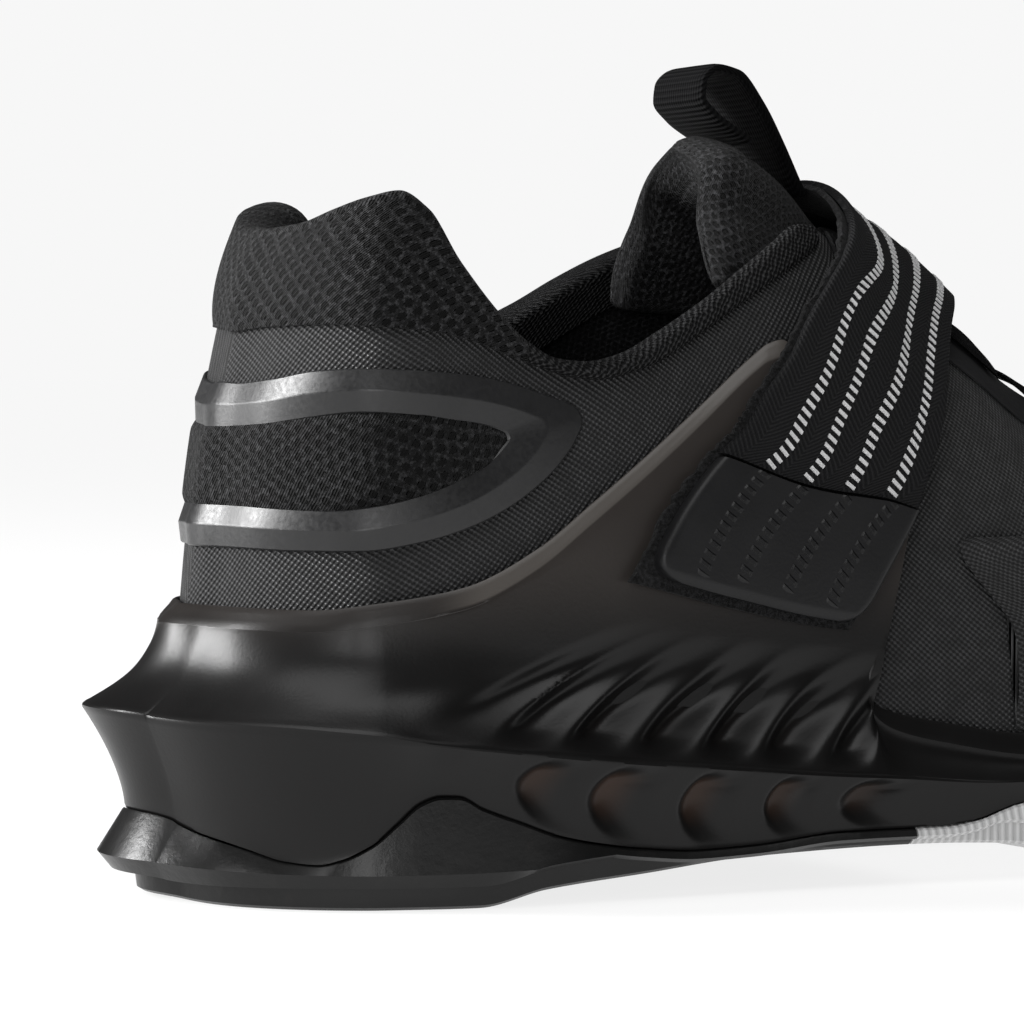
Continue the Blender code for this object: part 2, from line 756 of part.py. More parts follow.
def collar_sections(sides, steps):
    """Channel sections over the collar edge: outer leg, rounded top and inner leg."""
    share = x_share_of(steps)
    length = skin_length(sides, steps)
    edge = edge_girth(sides, steps)
    low = girth_at(sides, steps, curve(PANEL_LINE, share) * HEIGHT)
    thick = padding(share, 1.0)
    near = padding(share, 0.95)

    def at(drop, off):
        return skin(sides, steps, edge - drop / length, off + np.zeros_like(share))

    lift = GAP + PANEL
    mid = low + (edge - 0.0025 / length - low) * 0.5
    columns = [
        skin(sides, steps, low, lift - 0.0003 + 0 * share),
        skin(sides, steps, mid, lift + 0 * share),
        at(0.0025, lift),
        at(0.0006, 0.0005),
        at(0.0, -0.3 * thick),
        at(0.0, -0.7 * thick),
        at(0.0006, -thick - 0.0005),
        at(0.0026, -thick - lift),
        at(0.0090, -near - lift),
        at(0.0090, -near - GAP),
        at(0.0030, -thick - GAP),
        at(0.0010, -0.75 * thick),
        at(0.0010, -0.25 * thick),
        at(0.0028, GAP),
        skin(sides, steps, mid, GAP + 0 * share),
        skin(sides, steps, low, GAP + 0 * share),
    ]
    return np.stack(columns, axis=1)


# heel ring, round from its rear top to its rear bottom: outer x and z, window x and z
RING = [
    (0.005, 0.775, 0.005, 0.705),
    (0.012, 0.773, 0.012, 0.706),
    (0.024, 0.780, 0.023, 0.711),
    (0.042, 0.792, 0.041, 0.722),
    (0.065, 0.795, 0.062, 0.730),
    (0.093, 0.791, 0.084, 0.726),
    (0.120, 0.783, 0.104, 0.718),
    (0.145, 0.767, 0.119, 0.712),
    (0.162, 0.751, 0.129, 0.705),
    (0.173, 0.738, 0.133, 0.699),
    (0.177, 0.718, 0.134, 0.690),
    (0.173, 0.690, 0.131, 0.679),
    (0.162, 0.650, 0.124, 0.660),
    (0.145, 0.609, 0.110, 0.636),
    (0.121, 0.570, 0.090, 0.610),
    (0.091, 0.540, 0.068, 0.593),
    (0.063, 0.526, 0.050, 0.586),
    (0.036, 0.525, 0.030, 0.588),
    (0.016, 0.527, 0.014, 0.592),
    (0.005, 0.527, 0.005, 0.593),
]
RING_GAP = 0.0004
RING_EDGE = 0.0006
RING_CREST = 0.0013


def ring_sections():
    """Closed band with a crest along its middle, one strip above and one below the window."""
    count = len(RING) - 1
    numbered = [(i, *row) for i, row in enumerate(RING)]
    rows = curve(numbered, np.linspace(0.0, count, 2 * count + 1))
    sections = []
    for side, order in ((-1.0, range(len(rows))), (1.0, range(len(rows) - 2, 0, -1))):
        for i in order:
            x_out, z_out, x_in, z_in = rows[i]
            spots = []
            for part, off in (
                (0.0, RING_GAP),
                (0.0, RING_GAP + RING_EDGE),
                (0.5, RING_GAP + RING_CREST),
                (1.0, RING_GAP + RING_EDGE),
                (1.0, RING_GAP),
                (0.5, RING_GAP),
            ):
                x = x_out + (x_in - x_out) * part
                z = (z_out + (z_in - z_out) * part) * HEIGHT
                step = 0.0 if x < 0.0051 else float(step_at(x))
                spots.append(wall(side, step, z, off).reshape(3))
            sections.append(spots)
    return np.array(sections)


# tongue rows from its top to its foot: x share, thickness, half width along the skin, lift at its
# middle, x share that its legs lean to the rear
TONGUE = [
    (0.305, 0.0045, 0.0360, -0.0012, 0.024),
    (0.309, 0.0070, 0.0360, 0.0000, 0.024),
    (0.322, 0.0080, 0.0340, 0.0004, 0.018),
    (0.345, 0.0075, 0.0300, 0.0000, 0.006),
    (0.380, 0.0060, 0.0260, -0.0004, 0.000),
    (0.430, 0.0048, 0.0255, -0.0006, 0.000),
    (0.480, 0.0040, 0.0250, -0.0008, 0.000),
    (0.540, 0.0034, 0.0240, -0.0010, 0.000),
    (0.600, 0.0030, 0.0210, -0.0012, 0.000),
    (0.640, 0.0026, 0.0180, -0.0030, 0.000),
    (0.660, 0.0022, 0.0165, -0.0032, 0.000),
]
# how far the tongue's legs lie under the upper's inside, past the collar and past the throat
LEG_UNDER_COLLAR = 0.0022
LEG_UNDER_THROAT = 0.0002


def tongue_grid(rows, shares):
    """Outer and inner points of the tongue in rows of an x share."""
    outer = []
    inner = []
    for x, thick, half, lift, lean in rows:
        step = float(step_at(x))
        under = -(WALL + GAP + (LEG_UNDER_COLLAR if x < 0.36 else LEG_UNDER_THROAT))
        row_out = []
        row_in = []
        for part in shares:
            side = -1.0 if part < 0 else 1.0
            length = float(skin_length(side, step)[0])
            girth = 1.0 - abs(part) * half / length
            here = step
            if lean > 0.0 and abs(part) > 0.1:
                height = skin(side, step, girth)[2]
                back = min(abs(part) / 0.9, 1.0)
                here = float(step_at(x - lean * back * back * (3 - 2 * back)))
                girth = float(girth_at(side, here, height)[0])
            blend = np.clip((0.62 - abs(part)) / 0.35, 0.0, 1.0)
            blend = blend * blend * (3 - 2 * blend)
            off = under + (lift - under) * blend
            rounded = thick * (1.0 if abs(part) < 0.9 else 0.72)
            row_out.append(skin(side, here, girth, off))
            row_in.append(skin(side, here, girth, off - rounded))
        outer.append(row_out)
        inner.append(row_in)
    return np.array(outer), np.array(inner)


# pull loop, side path: x share, z share
LOOP = [
    (0.316, 1.180),
    (0.303, 1.200),
    (0.2950, 1.228),
    (0.2960, 1.254),
    (0.305, 1.275),
    (0.317, 1.268),
    (0.3317, 1.218),
    (0.344, 1.155),
    (0.3543, 1.095),
]
LOOP_HALF = 0.008
LOOP_THICK = 0.0016


def band_along(path, half, thick):
    """Flat band across y along a side path, as closed sections."""
    path = np.array(path, float)
    path = np.column_stack([SEAM_X + path[:, 0] * LENGTH, path[:, 1] * HEIGHT])
    ahead = np.gradient(path, axis=0)
    ahead /= np.linalg.norm(ahead, axis=1, keepdims=True)
    normal = np.column_stack([-ahead[:, 1], ahead[:, 0]])
    sections = []
    for spot, turn in zip(path, normal):
        section = []
        for y, off in ((-half, thick / 2), (half, thick / 2), (half, -thick / 2), (-half, -thick / 2)):
            x, z = spot + turn * off
            section.append((x, y, z))
        sections.append(section)
    return np.array(sections)


# strap edges from the tab's end over the instep to the inner root: x and girth of both edges
STRAP = [
    (0.201, 0.117, 0.323, 0.125),
    (0.221, 0.200, 0.344, 0.233),
    (0.247, 0.292, 0.359, 0.325),
    (0.263, 0.342, 0.365, 0.367),
    (0.275, 0.400, 0.374, 0.433),
    (0.293, 0.483, 0.384, 0.515),
    (0.308, 0.567, 0.392, 0.600),
    (0.323, 0.633, 0.402, 0.680),
    (0.338, 0.705, 0.415, 0.760),
    (0.350, 0.830, 0.433, 0.870),
    (0.358, 1.000, 0.450, 1.000),
    (0.362, 1.130, 0.456, 1.120),
    (0.360, 1.260, 0.454, 1.240),
    (0.354, 1.390, 0.446, 1.370),
    (0.343, 1.520, 0.434, 1.500),
    (0.331, 1.650, 0.420, 1.630),
]
TAB_ROWS = 3
BACKING = (0.0035, 0.0041)
WEBBING = (0.0044, 0.0059)
# the strap's front edge lies lower than its rear edge over the instep
FRONT_DROP = 0.0008
TAB = (0.0044, 0.0067)


def strap_rows():
    """The strap's rows with one more between each two."""
    count = len(STRAP) - 1
    numbered = [(i, *row) for i, row in enumerate(STRAP)]
    return curve(numbered, np.linspace(0.0, count, 2 * count + 1))


def strap_point(x, girth, off):
    """Point over the upper where girth runs from 0 outer feather over 1 crest to 2 inner feather."""
    side = -1.0 if girth <= 1.0 else 1.0
    share = girth if girth <= 1.0 else 2.0 - girth
    return skin(side, float(step_at(x)), share, off)


def strap_sections(rows, across, low, high, round_edge=0.0):
    """Closed sections of a strap layer between two lifts above the skin."""
    sections = []
    for x_left, g_left, x_right, g_right in rows:
        upper_side = []
        lower_side = []
        for part in across:
            x = x_left + (x_right - x_left) * part
            girth = g_left + (g_right - g_left) * part
            edge = round_edge if part in (across[0], across[-1]) else 0.0
            drop = FRONT_DROP * part * np.clip((girth - 0.55) / 0.25, 0.0, 1.0)
            upper_side.append(strap_point(x, girth, high - edge - drop))
            lower_side.append(strap_point(x, girth, low - drop))
        sections.append(upper_side + lower_side[::-1])
    return np.array(sections)


EYESTAY_THICK = 0.0009


def eyestay_sections(side, shares):
    """Film along the throat edge with a wall of its own, as closed sections."""
    sections = []
    for x in shares:
        step = np.array([float(step_at(x))])
        sides = np.array([side])
        length = skin_length(sides, step)
        edge = edge_girth(sides, step)
        drops = [0.0008, 0.004, 0.0085, 0.013]
        spots = []
        for off, order in ((EYESTAY_THICK, drops), (GAP, drops[::-1])):
            for drop in order:
                spots.append(skin(sides, step, edge - drop / length, np.array([off]))[0])
        sections.append(spots)
    return np.array(sections)


# lace bars: x share of each crossing
LACE_BARS = [0.374, 0.408, 0.444, 0.482, 0.524, 0.566, 0.604]
LACE_REACH = 0.0225
LACE_LIFT = 0.0016
LACE_HALF = 0.0024
LACE_THICK = 0.0004


def lace_path():
    """Zigzag over the throat as x share, girth in strap terms and lift."""
    path = []
    for i, x in enumerate(LACE_BARS):
        turn = [-1.0, -0.85, -0.7, -0.5, -0.25, 0.0, 0.25, 0.5, 0.7, 0.85, 1.0]
        if i % 2:
            turn = turn[::-1]
        for t in turn:
            path.append((x, t * LACE_REACH, LACE_LIFT))
        if i + 1 < len(LACE_BARS):
            ahead = LACE_BARS[i + 1] - x
            for part in (0.2, 0.5, 0.8):
                path.append((x + ahead * part, turn[-1] * LACE_REACH, LACE_LIFT))
    return path


def lace_sections():
    """Flat lace along its zigzag path."""
    spots = []
    lifts = []
    for x, reach, off in lace_path():
        side = -1.0 if reach <= 0 else 1.0
        step = float(step_at(x))
        length = float(skin_length(side, step)[0])
        girth = 1.0 - abs(reach) / length
        spots.append(skin(side, step, girth, off))
        lifts.append(skin(side, step, girth, off + 0.001) - spots[-1])
    spots = np.array(spots)
    lifts = np.array(lifts)
    ahead = np.gradient(spots, axis=0)
    ahead /= np.linalg.norm(ahead, axis=1, keepdims=True)
    lifts -= ahead * np.sum(lifts * ahead, axis=1, keepdims=True)
    lifts /= np.linalg.norm(lifts, axis=1, keepdims=True)
    across = np.cross(ahead, lifts)
    sections = []
    for spot, lift, wide in zip(spots, lifts, across):
        section = []
        for a, b in ((-1.0, 0.0), (-0.6, 1.0), (0.6, 1.0), (1.0, 0.0), (0.6, -1.0), (-0.6, -1.0)):
            section.append(spot + wide * a * LACE_HALF + lift * b * LACE_THICK)
        sections.append(section)
    return np.array(sections)


# raised film round the forefoot: x share, z of its upper edge on both sides
VAMP = [
    (0.400, 0.400, 0.400),
    (0.410, 0.530, 0.500),
    (0.430, 0.530, 0.500),
    (0.500, 0.430, 0.420),
    (0.600, 0.370, 0.370),
    (0.780, 0.350, 0.350),
    (0.900, 0.400, 0.400),
    (0.953, 0.430, 0.430),
]
VAMP_THICK = 0.0007
VAMP_GAP = 0.0004


def vamp_sections(shares):
    """Film above the midsole's edge from the outer side round the toe to the inner side."""
    steps = step_at(shares)
    steps[-1] = 1.0
    order = np.concatenate([steps, steps[-2::-1]])
    sides = np.concatenate([np.full(len(steps), -1.0), np.full(len(steps) - 1, 1.0)])
    share = x_share_of(order)
    low = side_table(sides, OUTER_TOP, INNER_TOP, share)[:, 1] * HEIGHT + 0.0006
    tops = curve(VAMP, share) * HEIGHT
    high = np.where(sides < 0, tops[:, 0], tops[:, 1])
    high = np.maximum(high, low + 0.006)
    columns = []
    ladder = np.linspace(0.0, 1.0, 6)
    for off, parts in ((VAMP_GAP + VAMP_THICK, ladder), (VAMP_GAP, ladder[::-1])):
        for part in parts:
            z = low + (high - low) * part
            columns.append(wall(sides, order, z, off))
    return np.stack(columns, axis=1)


def insole_sections(sides, steps):
    """Half sections of the sock liner from its top's middle to its underside's middle."""
    share = x_share_of(steps)
    bed = curve(FOOTBED, share) * HEIGHT
    middle = curve(FOOTBED, np.clip(share, SPINE_REAR, SPINE_FRONT)) * HEIGHT
    inside = -(WALL + 0.0011)
    full = np.full_like(share, inside)
    columns = [
        spine(steps, middle + 0.0042),
        flat(sides, steps, full - 0.009, bed + 0.0044),
        flat(sides, steps, full - 0.0008, bed + 0.0058),
        flat(sides, steps, full, bed + 0.0052),
        flat(sides, steps, full - 0.0004, bed + 2 * GAP),
        flat(sides, steps, full - 0.009, bed + 2 * GAP),
        spine(steps, middle + 2 * GAP),
    ]
    return np.stack(columns, axis=1)


def main_shares(dense):
    """X shares of columns along a side, finer round the heel and toe."""
    rear = x_share_of(np.linspace(0.0, step_at(0.117), 10))
    flank = np.arange(0.126, 0.402, 0.0089 if dense else 0.0178)
    front = np.array([0.42, 0.445, 0.47, 0.50, 0.53, 0.56, 0.59, 0.615, 0.66, 0.71, 0.76, 0.80])
    toe = x_share_of(np.linspace(float(step_at(0.835)), 1.0, 8))
    return np.concatenate([rear, flank, front, toe])


def build():
    """Make every piece of the shoe."""
    shares = main_shares(True)
    sides, steps = round_trip(shares)
    half_loft("midsole", midsole_sections(sides, steps), True, (0.03, 0.03, 0.032), 0.4)

    plain = main_shares(False)
    heel_steps = np.concatenate([step_at(shares[shares < 0.351]), [float(step_at(0.3555))]])
    heel_steps[0] = 0.0
    order = np.concatenate([heel_steps[::-1], heel_steps[1:]])
    order_sides = np.concatenate([np.full(len(heel_steps), -1.0), np.full(len(heel_steps) - 1, 1.0)])
    sections = outsole_sections(order_sides, order)
    half_loft("outsole_heel", sections, False, (0.02, 0.02, 0.02), 0.3)

    front_steps = np.concatenate([[float(step_at(0.3565))], step_at(shares[shares > 0.361])])
    front_steps[-1] = 1.0
    order = np.concatenate([front_steps, front_steps[-2::-1]])
    order_sides = np.concatenate([np.full(len(front_steps), -1.0), np.full(len(front_steps) - 1, 1.0)])
    sections = outsole_sections(order_sides, order)
    half_loft("outsole_forefoot", sections, False, (0.55, 0.55, 0.54), 0.6)

    sides, steps = round_trip(plain)
    half_loft("insole", insole_sections(sides, steps), True, (0.06, 0.06, 0.06), 0.9)

    upper_shares = np.sort(np.concatenate([plain, [CORNER, 0.63, 0.645, THROAT_END]]))
    upper_shares = upper_shares[np.concatenate([[True], np.diff(upper_shares) > 0.0012])]
    sides, steps = round_trip(upper_shares)
    build_upper(sides, steps, [0.0, 0.13, 0.27, 0.41, 0.55, 0.67, 0.77, 0.86, 0.93, 1.0])

    rim = plain[plain < 0.33]
    rim_steps = np.concatenate([step_at(rim), [float(step_at(0.334))]])
    rim_steps[0] = 0.0
    order = np.concatenate([rim_steps[::-1], rim_steps[1:]])
    order_sides = np.concatenate([np.full(len(rim_steps), -1.0), np.full(len(rim_steps) - 1, 1.0)])
    loft("collar_panel", collar_sections(order_sides, order), False, (0.04, 0.04, 0.045), 0.9)

    loft("heel_ring", ring_sections(), True, (0.06, 0.06, 0.065), 0.6)

    across = [-1.0, -0.9, -0.75, -0.6, -0.45, -0.25, 0.001, 0.25, 0.45, 0.6, 0.75, 0.9, 1.0]
    outer, inner = tongue_grid(TONGUE, across)
    loft("tongue", slab(outer, inner), False, (0.05, 0.05, 0.05), 0.9)

    loft("pull_loop", band_along(LOOP, LOOP_HALF, LOOP_THICK), False, (0.03, 0.03, 0.03), 0.8)

    for name, side in (("eyestay_lateral", -1.0), ("eyestay_medial", 1.0)):
        stations = plain[(plain > 0.345) & (plain < 0.615)]
        loft(name, eyestay_sections(side, stations), False, (0.03, 0.03, 0.03), 0.6)

    loft("laces", lace_sections(), False, (0.03, 0.03, 0.03), 0.8)

    parts = [0.0, 0.04, 0.17, 0.32, 0.5, 0.68, 0.83, 0.96, 1.0]
    loft("strap_backing", strap_sections(STRAP, parts, *BACKING), False, (0.02, 0.02, 0.02), 0.95)
    webbing = STRAP[TAB_ROWS - 1 :]
    loft("strap", strap_sections(webbing, parts, *WEBBING, 0.0004), False, (0.03, 0.03, 0.03), 0.8)
    tab = [list(row) for row in STRAP[:TAB_ROWS]]
    last = tab[-1]
    tab[-1] = [last[0] - 0.0008, last[1] - 0.006, last[2] - 0.0008, last[3] - 0.006]
    loft("strap_tab", strap_sections(tab, parts, *TAB, 0.0008), False, (0.02, 0.02, 0.02), 0.4)

    stations = np.concatenate([[0.400, 0.408], plain[plain > 0.415]])
    loft("vamp_panel", vamp_sections(stations), False, (0.06, 0.06, 0.06), 0.6)


for old in list(bpy.data.objects):
    bpy.data.objects.remove(old)
SHOE = bpy.data.collections.new("weightlifting_shoe")
bpy.context.scene.collection.children.link(SHOE)
build()
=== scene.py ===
"""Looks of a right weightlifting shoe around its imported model, in metres with +Z up, toe along +X."""

import math

import bmesh
import bpy
import mathutils
import numpy as np
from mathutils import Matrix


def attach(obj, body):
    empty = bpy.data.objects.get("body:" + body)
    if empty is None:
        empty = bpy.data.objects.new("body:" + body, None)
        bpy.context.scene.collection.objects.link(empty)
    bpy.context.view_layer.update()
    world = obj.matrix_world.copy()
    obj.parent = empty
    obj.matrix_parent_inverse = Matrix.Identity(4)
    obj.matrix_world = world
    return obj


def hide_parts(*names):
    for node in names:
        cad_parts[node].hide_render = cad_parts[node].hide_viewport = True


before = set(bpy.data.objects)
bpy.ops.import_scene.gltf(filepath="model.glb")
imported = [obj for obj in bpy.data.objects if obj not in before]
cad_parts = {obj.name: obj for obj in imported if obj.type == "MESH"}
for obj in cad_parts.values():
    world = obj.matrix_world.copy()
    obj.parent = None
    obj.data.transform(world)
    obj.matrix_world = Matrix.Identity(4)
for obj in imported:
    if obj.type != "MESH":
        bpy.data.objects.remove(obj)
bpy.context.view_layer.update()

# main sizes in metres
LENGTH = 0.300
WIDTH = 0.100
HEIGHT = 0.100
SEAM_X = -0.030

# walls, layers and gaps in metres
GAP = 0.0003
WALL = 0.0025
PAD = 0.0068
PANEL = 0.0010

# the upper's foot outline: x share of LENGTH, outer y and inner y shares of WIDTH
OUTLINE = [
    (0.005, 0.000, 0.000),
    (0.014, -0.070, 0.070),
    (0.023, -0.145, 0.145),
    (0.042, -0.225, 0.225),
    (0.070, -0.290, 0.290),
    (0.117, -0.335, 0.335),
    (0.173, -0.348, 0.338),
    (0.250, -0.353, 0.315),
    (0.333, -0.370, 0.300),
    (0.433, -0.420, 0.335),
    (0.533, -0.470, 0.400),
    (0.623, -0.494, 0.455),
    (0.707, -0.478, 0.475),
    (0.787, -0.420, 0.460),
    (0.853, -0.325, 0.415),
    (0.903, -0.205, 0.340),
    (0.937, -0.070, 0.240),
    (0.953, 0.080, 0.080),
]

# the upper's ribs: x share; feather z, crest y, crest z; first and second handles as inset and z
RIBS = [
    (0.005, 0.36, 0.00, 1.50, 0.10, 0.60, 0.12, 1.00),
    (0.023, 0.36, 0.00, 1.55, 0.06, 0.63, 0.08, 1.05),
    (0.070, 0.36, 0.00, 1.70, 0.00, 0.70, 0.00, 1.15),
    (0.167, 0.34, 0.00, 1.70, 0.00, 0.65, 0.10, 1.10),
    (0.250, 0.30, 0.00, 1.45, 0.00, 0.62, 0.10, 1.00),
    (0.307, 0.28, 0.00, 1.185, 0.00, 0.66, 0.17, 1.14),
    (0.337, 0.27, 0.00, 1.11, 0.00, 0.66, 0.20, 1.12),
    (0.367, 0.25, 0.00, 1.04, 0.00, 0.62, 0.25, 1.02),
    (0.397, 0.24, 0.00, 0.985, 0.00, 0.58, 0.30, 0.97),
    (0.428, 0.23, 0.00, 0.912, 0.00, 0.54, 0.32, 0.900),
    (0.463, 0.22, 0.01, 0.818, 0.00, 0.50, 0.35, 0.808),
    (0.505, 0.21, 0.02, 0.748, 0.00, 0.47, 0.39, 0.744),
    (0.533, 0.20, 0.02, 0.71, 0.00, 0.45, 0.42, 0.71),
    (0.583, 0.195, 0.03, 0.645, 0.00, 0.42, 0.44, 0.645),
    (0.633, 0.19, 0.04, 0.595, 0.00, 0.40, 0.45, 0.595),
    (0.773, 0.19, 0.06, 0.50, 0.00, 0.37, 0.50, 0.50),
    (0.953, 0.24, 0.06, 0.50, 0.00, 0.40, 0.50, 0.51),
]
CREST_REAR = 0.147
CREST_FRONT = 0.773


def curve(rows, at):
    """Smooth monotone curve through table rows whose first column is the position."""
    rows = np.asarray(rows, float)
    at = np.asarray(at, float)
    x = rows[:, 0]
    y = rows[:, 1:]
    step = np.diff(x)
    slope = np.diff(y, axis=0) / step[:, None]
    tangent = np.zeros_like(y)
    tangent[0] = slope[0]
    tangent[-1] = slope[-1]
    before = slope[:-1]
    after = slope[1:]
    same = before * after > 0
    safe_before = np.where(same, before, 1.0)
    safe_after = np.where(same, after, 1.0)
    w1 = (2 * step[1:] + step[:-1])[:, None]
    w2 = (step[1:] + 2 * step[:-1])[:, None]
    tangent[1:-1] = np.where(same, (w1 + w2) / (w1 / safe_before + w2 / safe_after), 0.0)
    at = np.clip(at, x[0], x[-1])
    k = np.clip(np.searchsorted(x, at, side="right") - 1, 0, len(step) - 1)
    h = step[k][..., None]
    t = ((at - x[k]) / step[k])[..., None]
    out = (2 * t**3 - 3 * t**2 + 1) * y[k] + (t**3 - 2 * t**2 + t) * h * tangent[k]
    out = out + (3 * t**2 - 2 * t**3) * y[k + 1] + (t**3 - t**2) * h * tangent[k + 1]
    return out[..., 0] if out.shape[-1] == 1 else out


def table_rows(table, count, first=0, last=None):
    """Rows at even places along a table, from one of its rows to another."""
    numbered = [(i, *row) for i, row in enumerate(table)]
    return curve(numbered, np.linspace(first, len(table) - 1 if last is None else last, count))


def row_at(at, knots, rows):
    """Row of a table at a place between its knots."""
    return np.array([np.interp(at, knots, rows[:, k]) for k in range(rows.shape[1])])


def run_along(points):
    """Length from the first point of a line to each of its points."""
    return np.concatenate([[0], np.cumsum(np.linalg.norm(np.diff(points, axis=0), axis=1))])


def mirrored_outline():
    """Outline rows with one more row past the rear and past the toe, for smooth ends."""
    rows = [list(row) for row in OUTLINE]
    first = [rows[1][0], rows[1][2], rows[1][1]]
    last = [rows[-2][0], rows[-2][2], rows[-2][1]]
    return np.array([first] + rows + [last])


def size_outline():
    """Dense outline: steps 0 to 1 from the rear seam to the toe, x, outer y and inner y."""
    rows = mirrored_outline()
    rows[:, 0] = SEAM_X + rows[:, 0] * LENGTH
    rows[:, 1:] *= WIDTH
    legs = np.hypot(np.diff(rows[:, 0]), np.diff(rows[:, 1]))
    legs = (legs + np.hypot(np.diff(rows[:, 0]), np.diff(rows[:, 2]))) / 2
    knots = np.concatenate([[-legs[0]], np.cumsum(legs) - legs[0]])
    total = knots[-2]
    steps = np.linspace(0.0, 1.0, ALONG)
    dense = curve(np.column_stack([knots / total, rows]), steps)
    return steps, dense


ALONG = 721
AROUND = 121
STEPS, PLAN = size_outline()


def step_at(x_share):
    """Outline step of an x share."""
    x = SEAM_X + np.asarray(x_share, float) * LENGTH
    return np.interp(x, PLAN[:, 0], STEPS)


def x_share_of(step):
    """X share of LENGTH at an outline step."""
    return (np.interp(step, STEPS, PLAN[:, 0]) - SEAM_X) / LENGTH


def size_surface():
    """Points and outward normals of the upper's outer face, all round and from feather to crest."""
    share = (PLAN[:, 0] - SEAM_X) / LENGTH
    ribs = curve(RIBS, share)
    v = np.linspace(0.0, 1.0, AROUND)
    w = 1.0 - v
    sides = []
    crest_x = SEAM_X + LENGTH * np.clip(share, CREST_REAR, CREST_FRONT)
    for side in (1, 2):
        feather, crest_y, crest_z, r1, z1, r2, z2 = ribs.T
        r = 3 * r1[:, None] * w**2 * v + 3 * r2[:, None] * w * v**2 + v**3
        z = feather[:, None] * w**3 + 3 * z1[:, None] * w**2 * v
        z = (z + 3 * z2[:, None] * w * v**2 + crest_z[:, None] * v**3) * HEIGHT
        x = PLAN[:, 0][:, None] + r * (crest_x - PLAN[:, 0])[:, None]
        y = PLAN[:, side][:, None] + r * (crest_y * WIDTH - PLAN[:, side])[:, None]
        points = np.stack([x, y, z], axis=-1)
        girth = np.linalg.norm(np.diff(points, axis=1), axis=2)
        girth = np.concatenate([np.zeros((ALONG, 1)), np.cumsum(girth, axis=1)], axis=1)
        even = np.linspace(0.0, 1.0, AROUND)
        out = np.empty_like(points)
        for i in range(ALONG):
            for axis in range(3):
                out[i, :, axis] = np.interp(even * girth[i, -1], girth[i], points[i, :, axis])
        sides.append(out)
    ring = np.concatenate([sides[0], sides[1][-2:0:-1]], axis=0)
    along = np.roll(ring, -1, axis=0) - np.roll(ring, 1, axis=0)
    up = np.gradient(ring, axis=1)
    normal = np.cross(along, up)
    length = np.linalg.norm(normal, axis=2, keepdims=True)
    normal = normal / np.maximum(length, 1e-15)
    centre = ring.mean(axis=(0, 1))
    if np.sum(normal[:, 0] * (ring[:, 0] - centre)) < 0:
        normal = -normal
    mirror = (-np.arange(len(ring))) % len(ring)
    top = normal[:, -1] + normal[mirror, -1]
    top[:, 2] = np.maximum(top[:, 2], 1e-6)
    normal[:, -1] = top / np.linalg.norm(top, axis=1, keepdims=True)
    toe = np.abs(ring[:, -1, 0] - ring[ALONG - 1, -1, 0]) < 1e-7
    normal[toe, -1] = (0.0, 0.0, 1.0)
    return ring, normal


SKIN, SKIN_NORMAL = size_surface()


def place(side, step):
    """Position round the skin in rows, with side -1 outer and +1 inner."""
    step = np.asarray(step, float)
    around = step * (ALONG - 1)
    return np.where(np.asarray(side) < 0, around, (2 * (ALONG - 1) - around))


def sample(field, at, girth):
    """Value of a skin field at positions round it and girth shares."""
    at = np.asarray(at, float) % len(field)
    at, girth = np.broadcast_arrays(at, np.clip(girth, 0.0, 1.0))
    row = np.floor(at).astype(int)
    fx = (at - row)[..., None]
    g = girth * (AROUND - 1)
    col = np.minimum(np.floor(g).astype(int), AROUND - 2)
    fy = (g - col)[..., None]
    row = row % len(field)
    after = (row + 1) % len(field)
    low = field[row, col] * (1 - fx) + field[after, col] * fx
    high = field[row, col + 1] * (1 - fx) + field[after, col + 1] * fx
    return low * (1 - fy) + high * fy


def skin(side, step, girth, off=0.0):
    """Points of the upper's skin at a girth share, moved out by off."""
    at = place(side, step)
    normal = sample(SKIN_NORMAL, at, girth)
    normal = normal / np.linalg.norm(normal, axis=-1, keepdims=True)
    return sample(SKIN, at, girth) + normal * np.asarray(off, float)[..., None]


def girth_at(side, step, z):
    """Girth share where the skin reaches a height, negative heights below the feather give 0."""
    at = np.atleast_1d(place(side, step))
    z = np.broadcast_to(np.asarray(z, float), at.shape)
    even = np.linspace(0.0, 1.0, AROUND)
    out = np.empty(at.shape)
    for i in np.ndindex(at.shape):
        row = int(at[i]) % len(SKIN)
        after = (row + 1) % len(SKIN)
        part = at[i] - int(at[i])
        heights = SKIN[row, :, 2] * (1 - part) + SKIN[after, :, 2] * part
        heights = np.maximum.accumulate(heights)
        out[i] = np.interp(z[i], heights, even)
    return out


def wall(side, step, z, off=0.0):
    """Points on the skin at a height, straight down below the feather, moved out by off."""
    side, step, z, off = np.broadcast_arrays(side, step, z, off)
    girth = girth_at(side, step, z).reshape(z.shape)
    point = skin(side, step, girth, off)
    base = skin(side, step, np.zeros_like(girth))
    below = z < base[..., 2]
    point[..., 2] = np.where(below, z, point[..., 2])
    return point


# footbed: x share, z share
FOOTBED = [
    (0.005, 0.310),
    (0.200, 0.290),
    (0.333, 0.230),
    (0.420, 0.165),
    (0.533, 0.125),
    (0.707, 0.125),
    (0.853, 0.165),
    (0.953, 0.210),
]
# floor side of the tread: x share, z share
TREAD = [
    (0.005, 0.006),
    (0.020, 0.000),
    (0.115, 0.000),
    (0.150, 0.022),
    (0.207, 0.038),
    (0.263, 0.053),
    (0.360, 0.060),
    (0.413, 0.055),
    (0.460, 0.022),
    (0.500, 0.000),
    (0.700, 0.000),
    (0.787, 0.018),
    (0.853, 0.050),
    (0.903, 0.090),
    (0.953, 0.140),
]
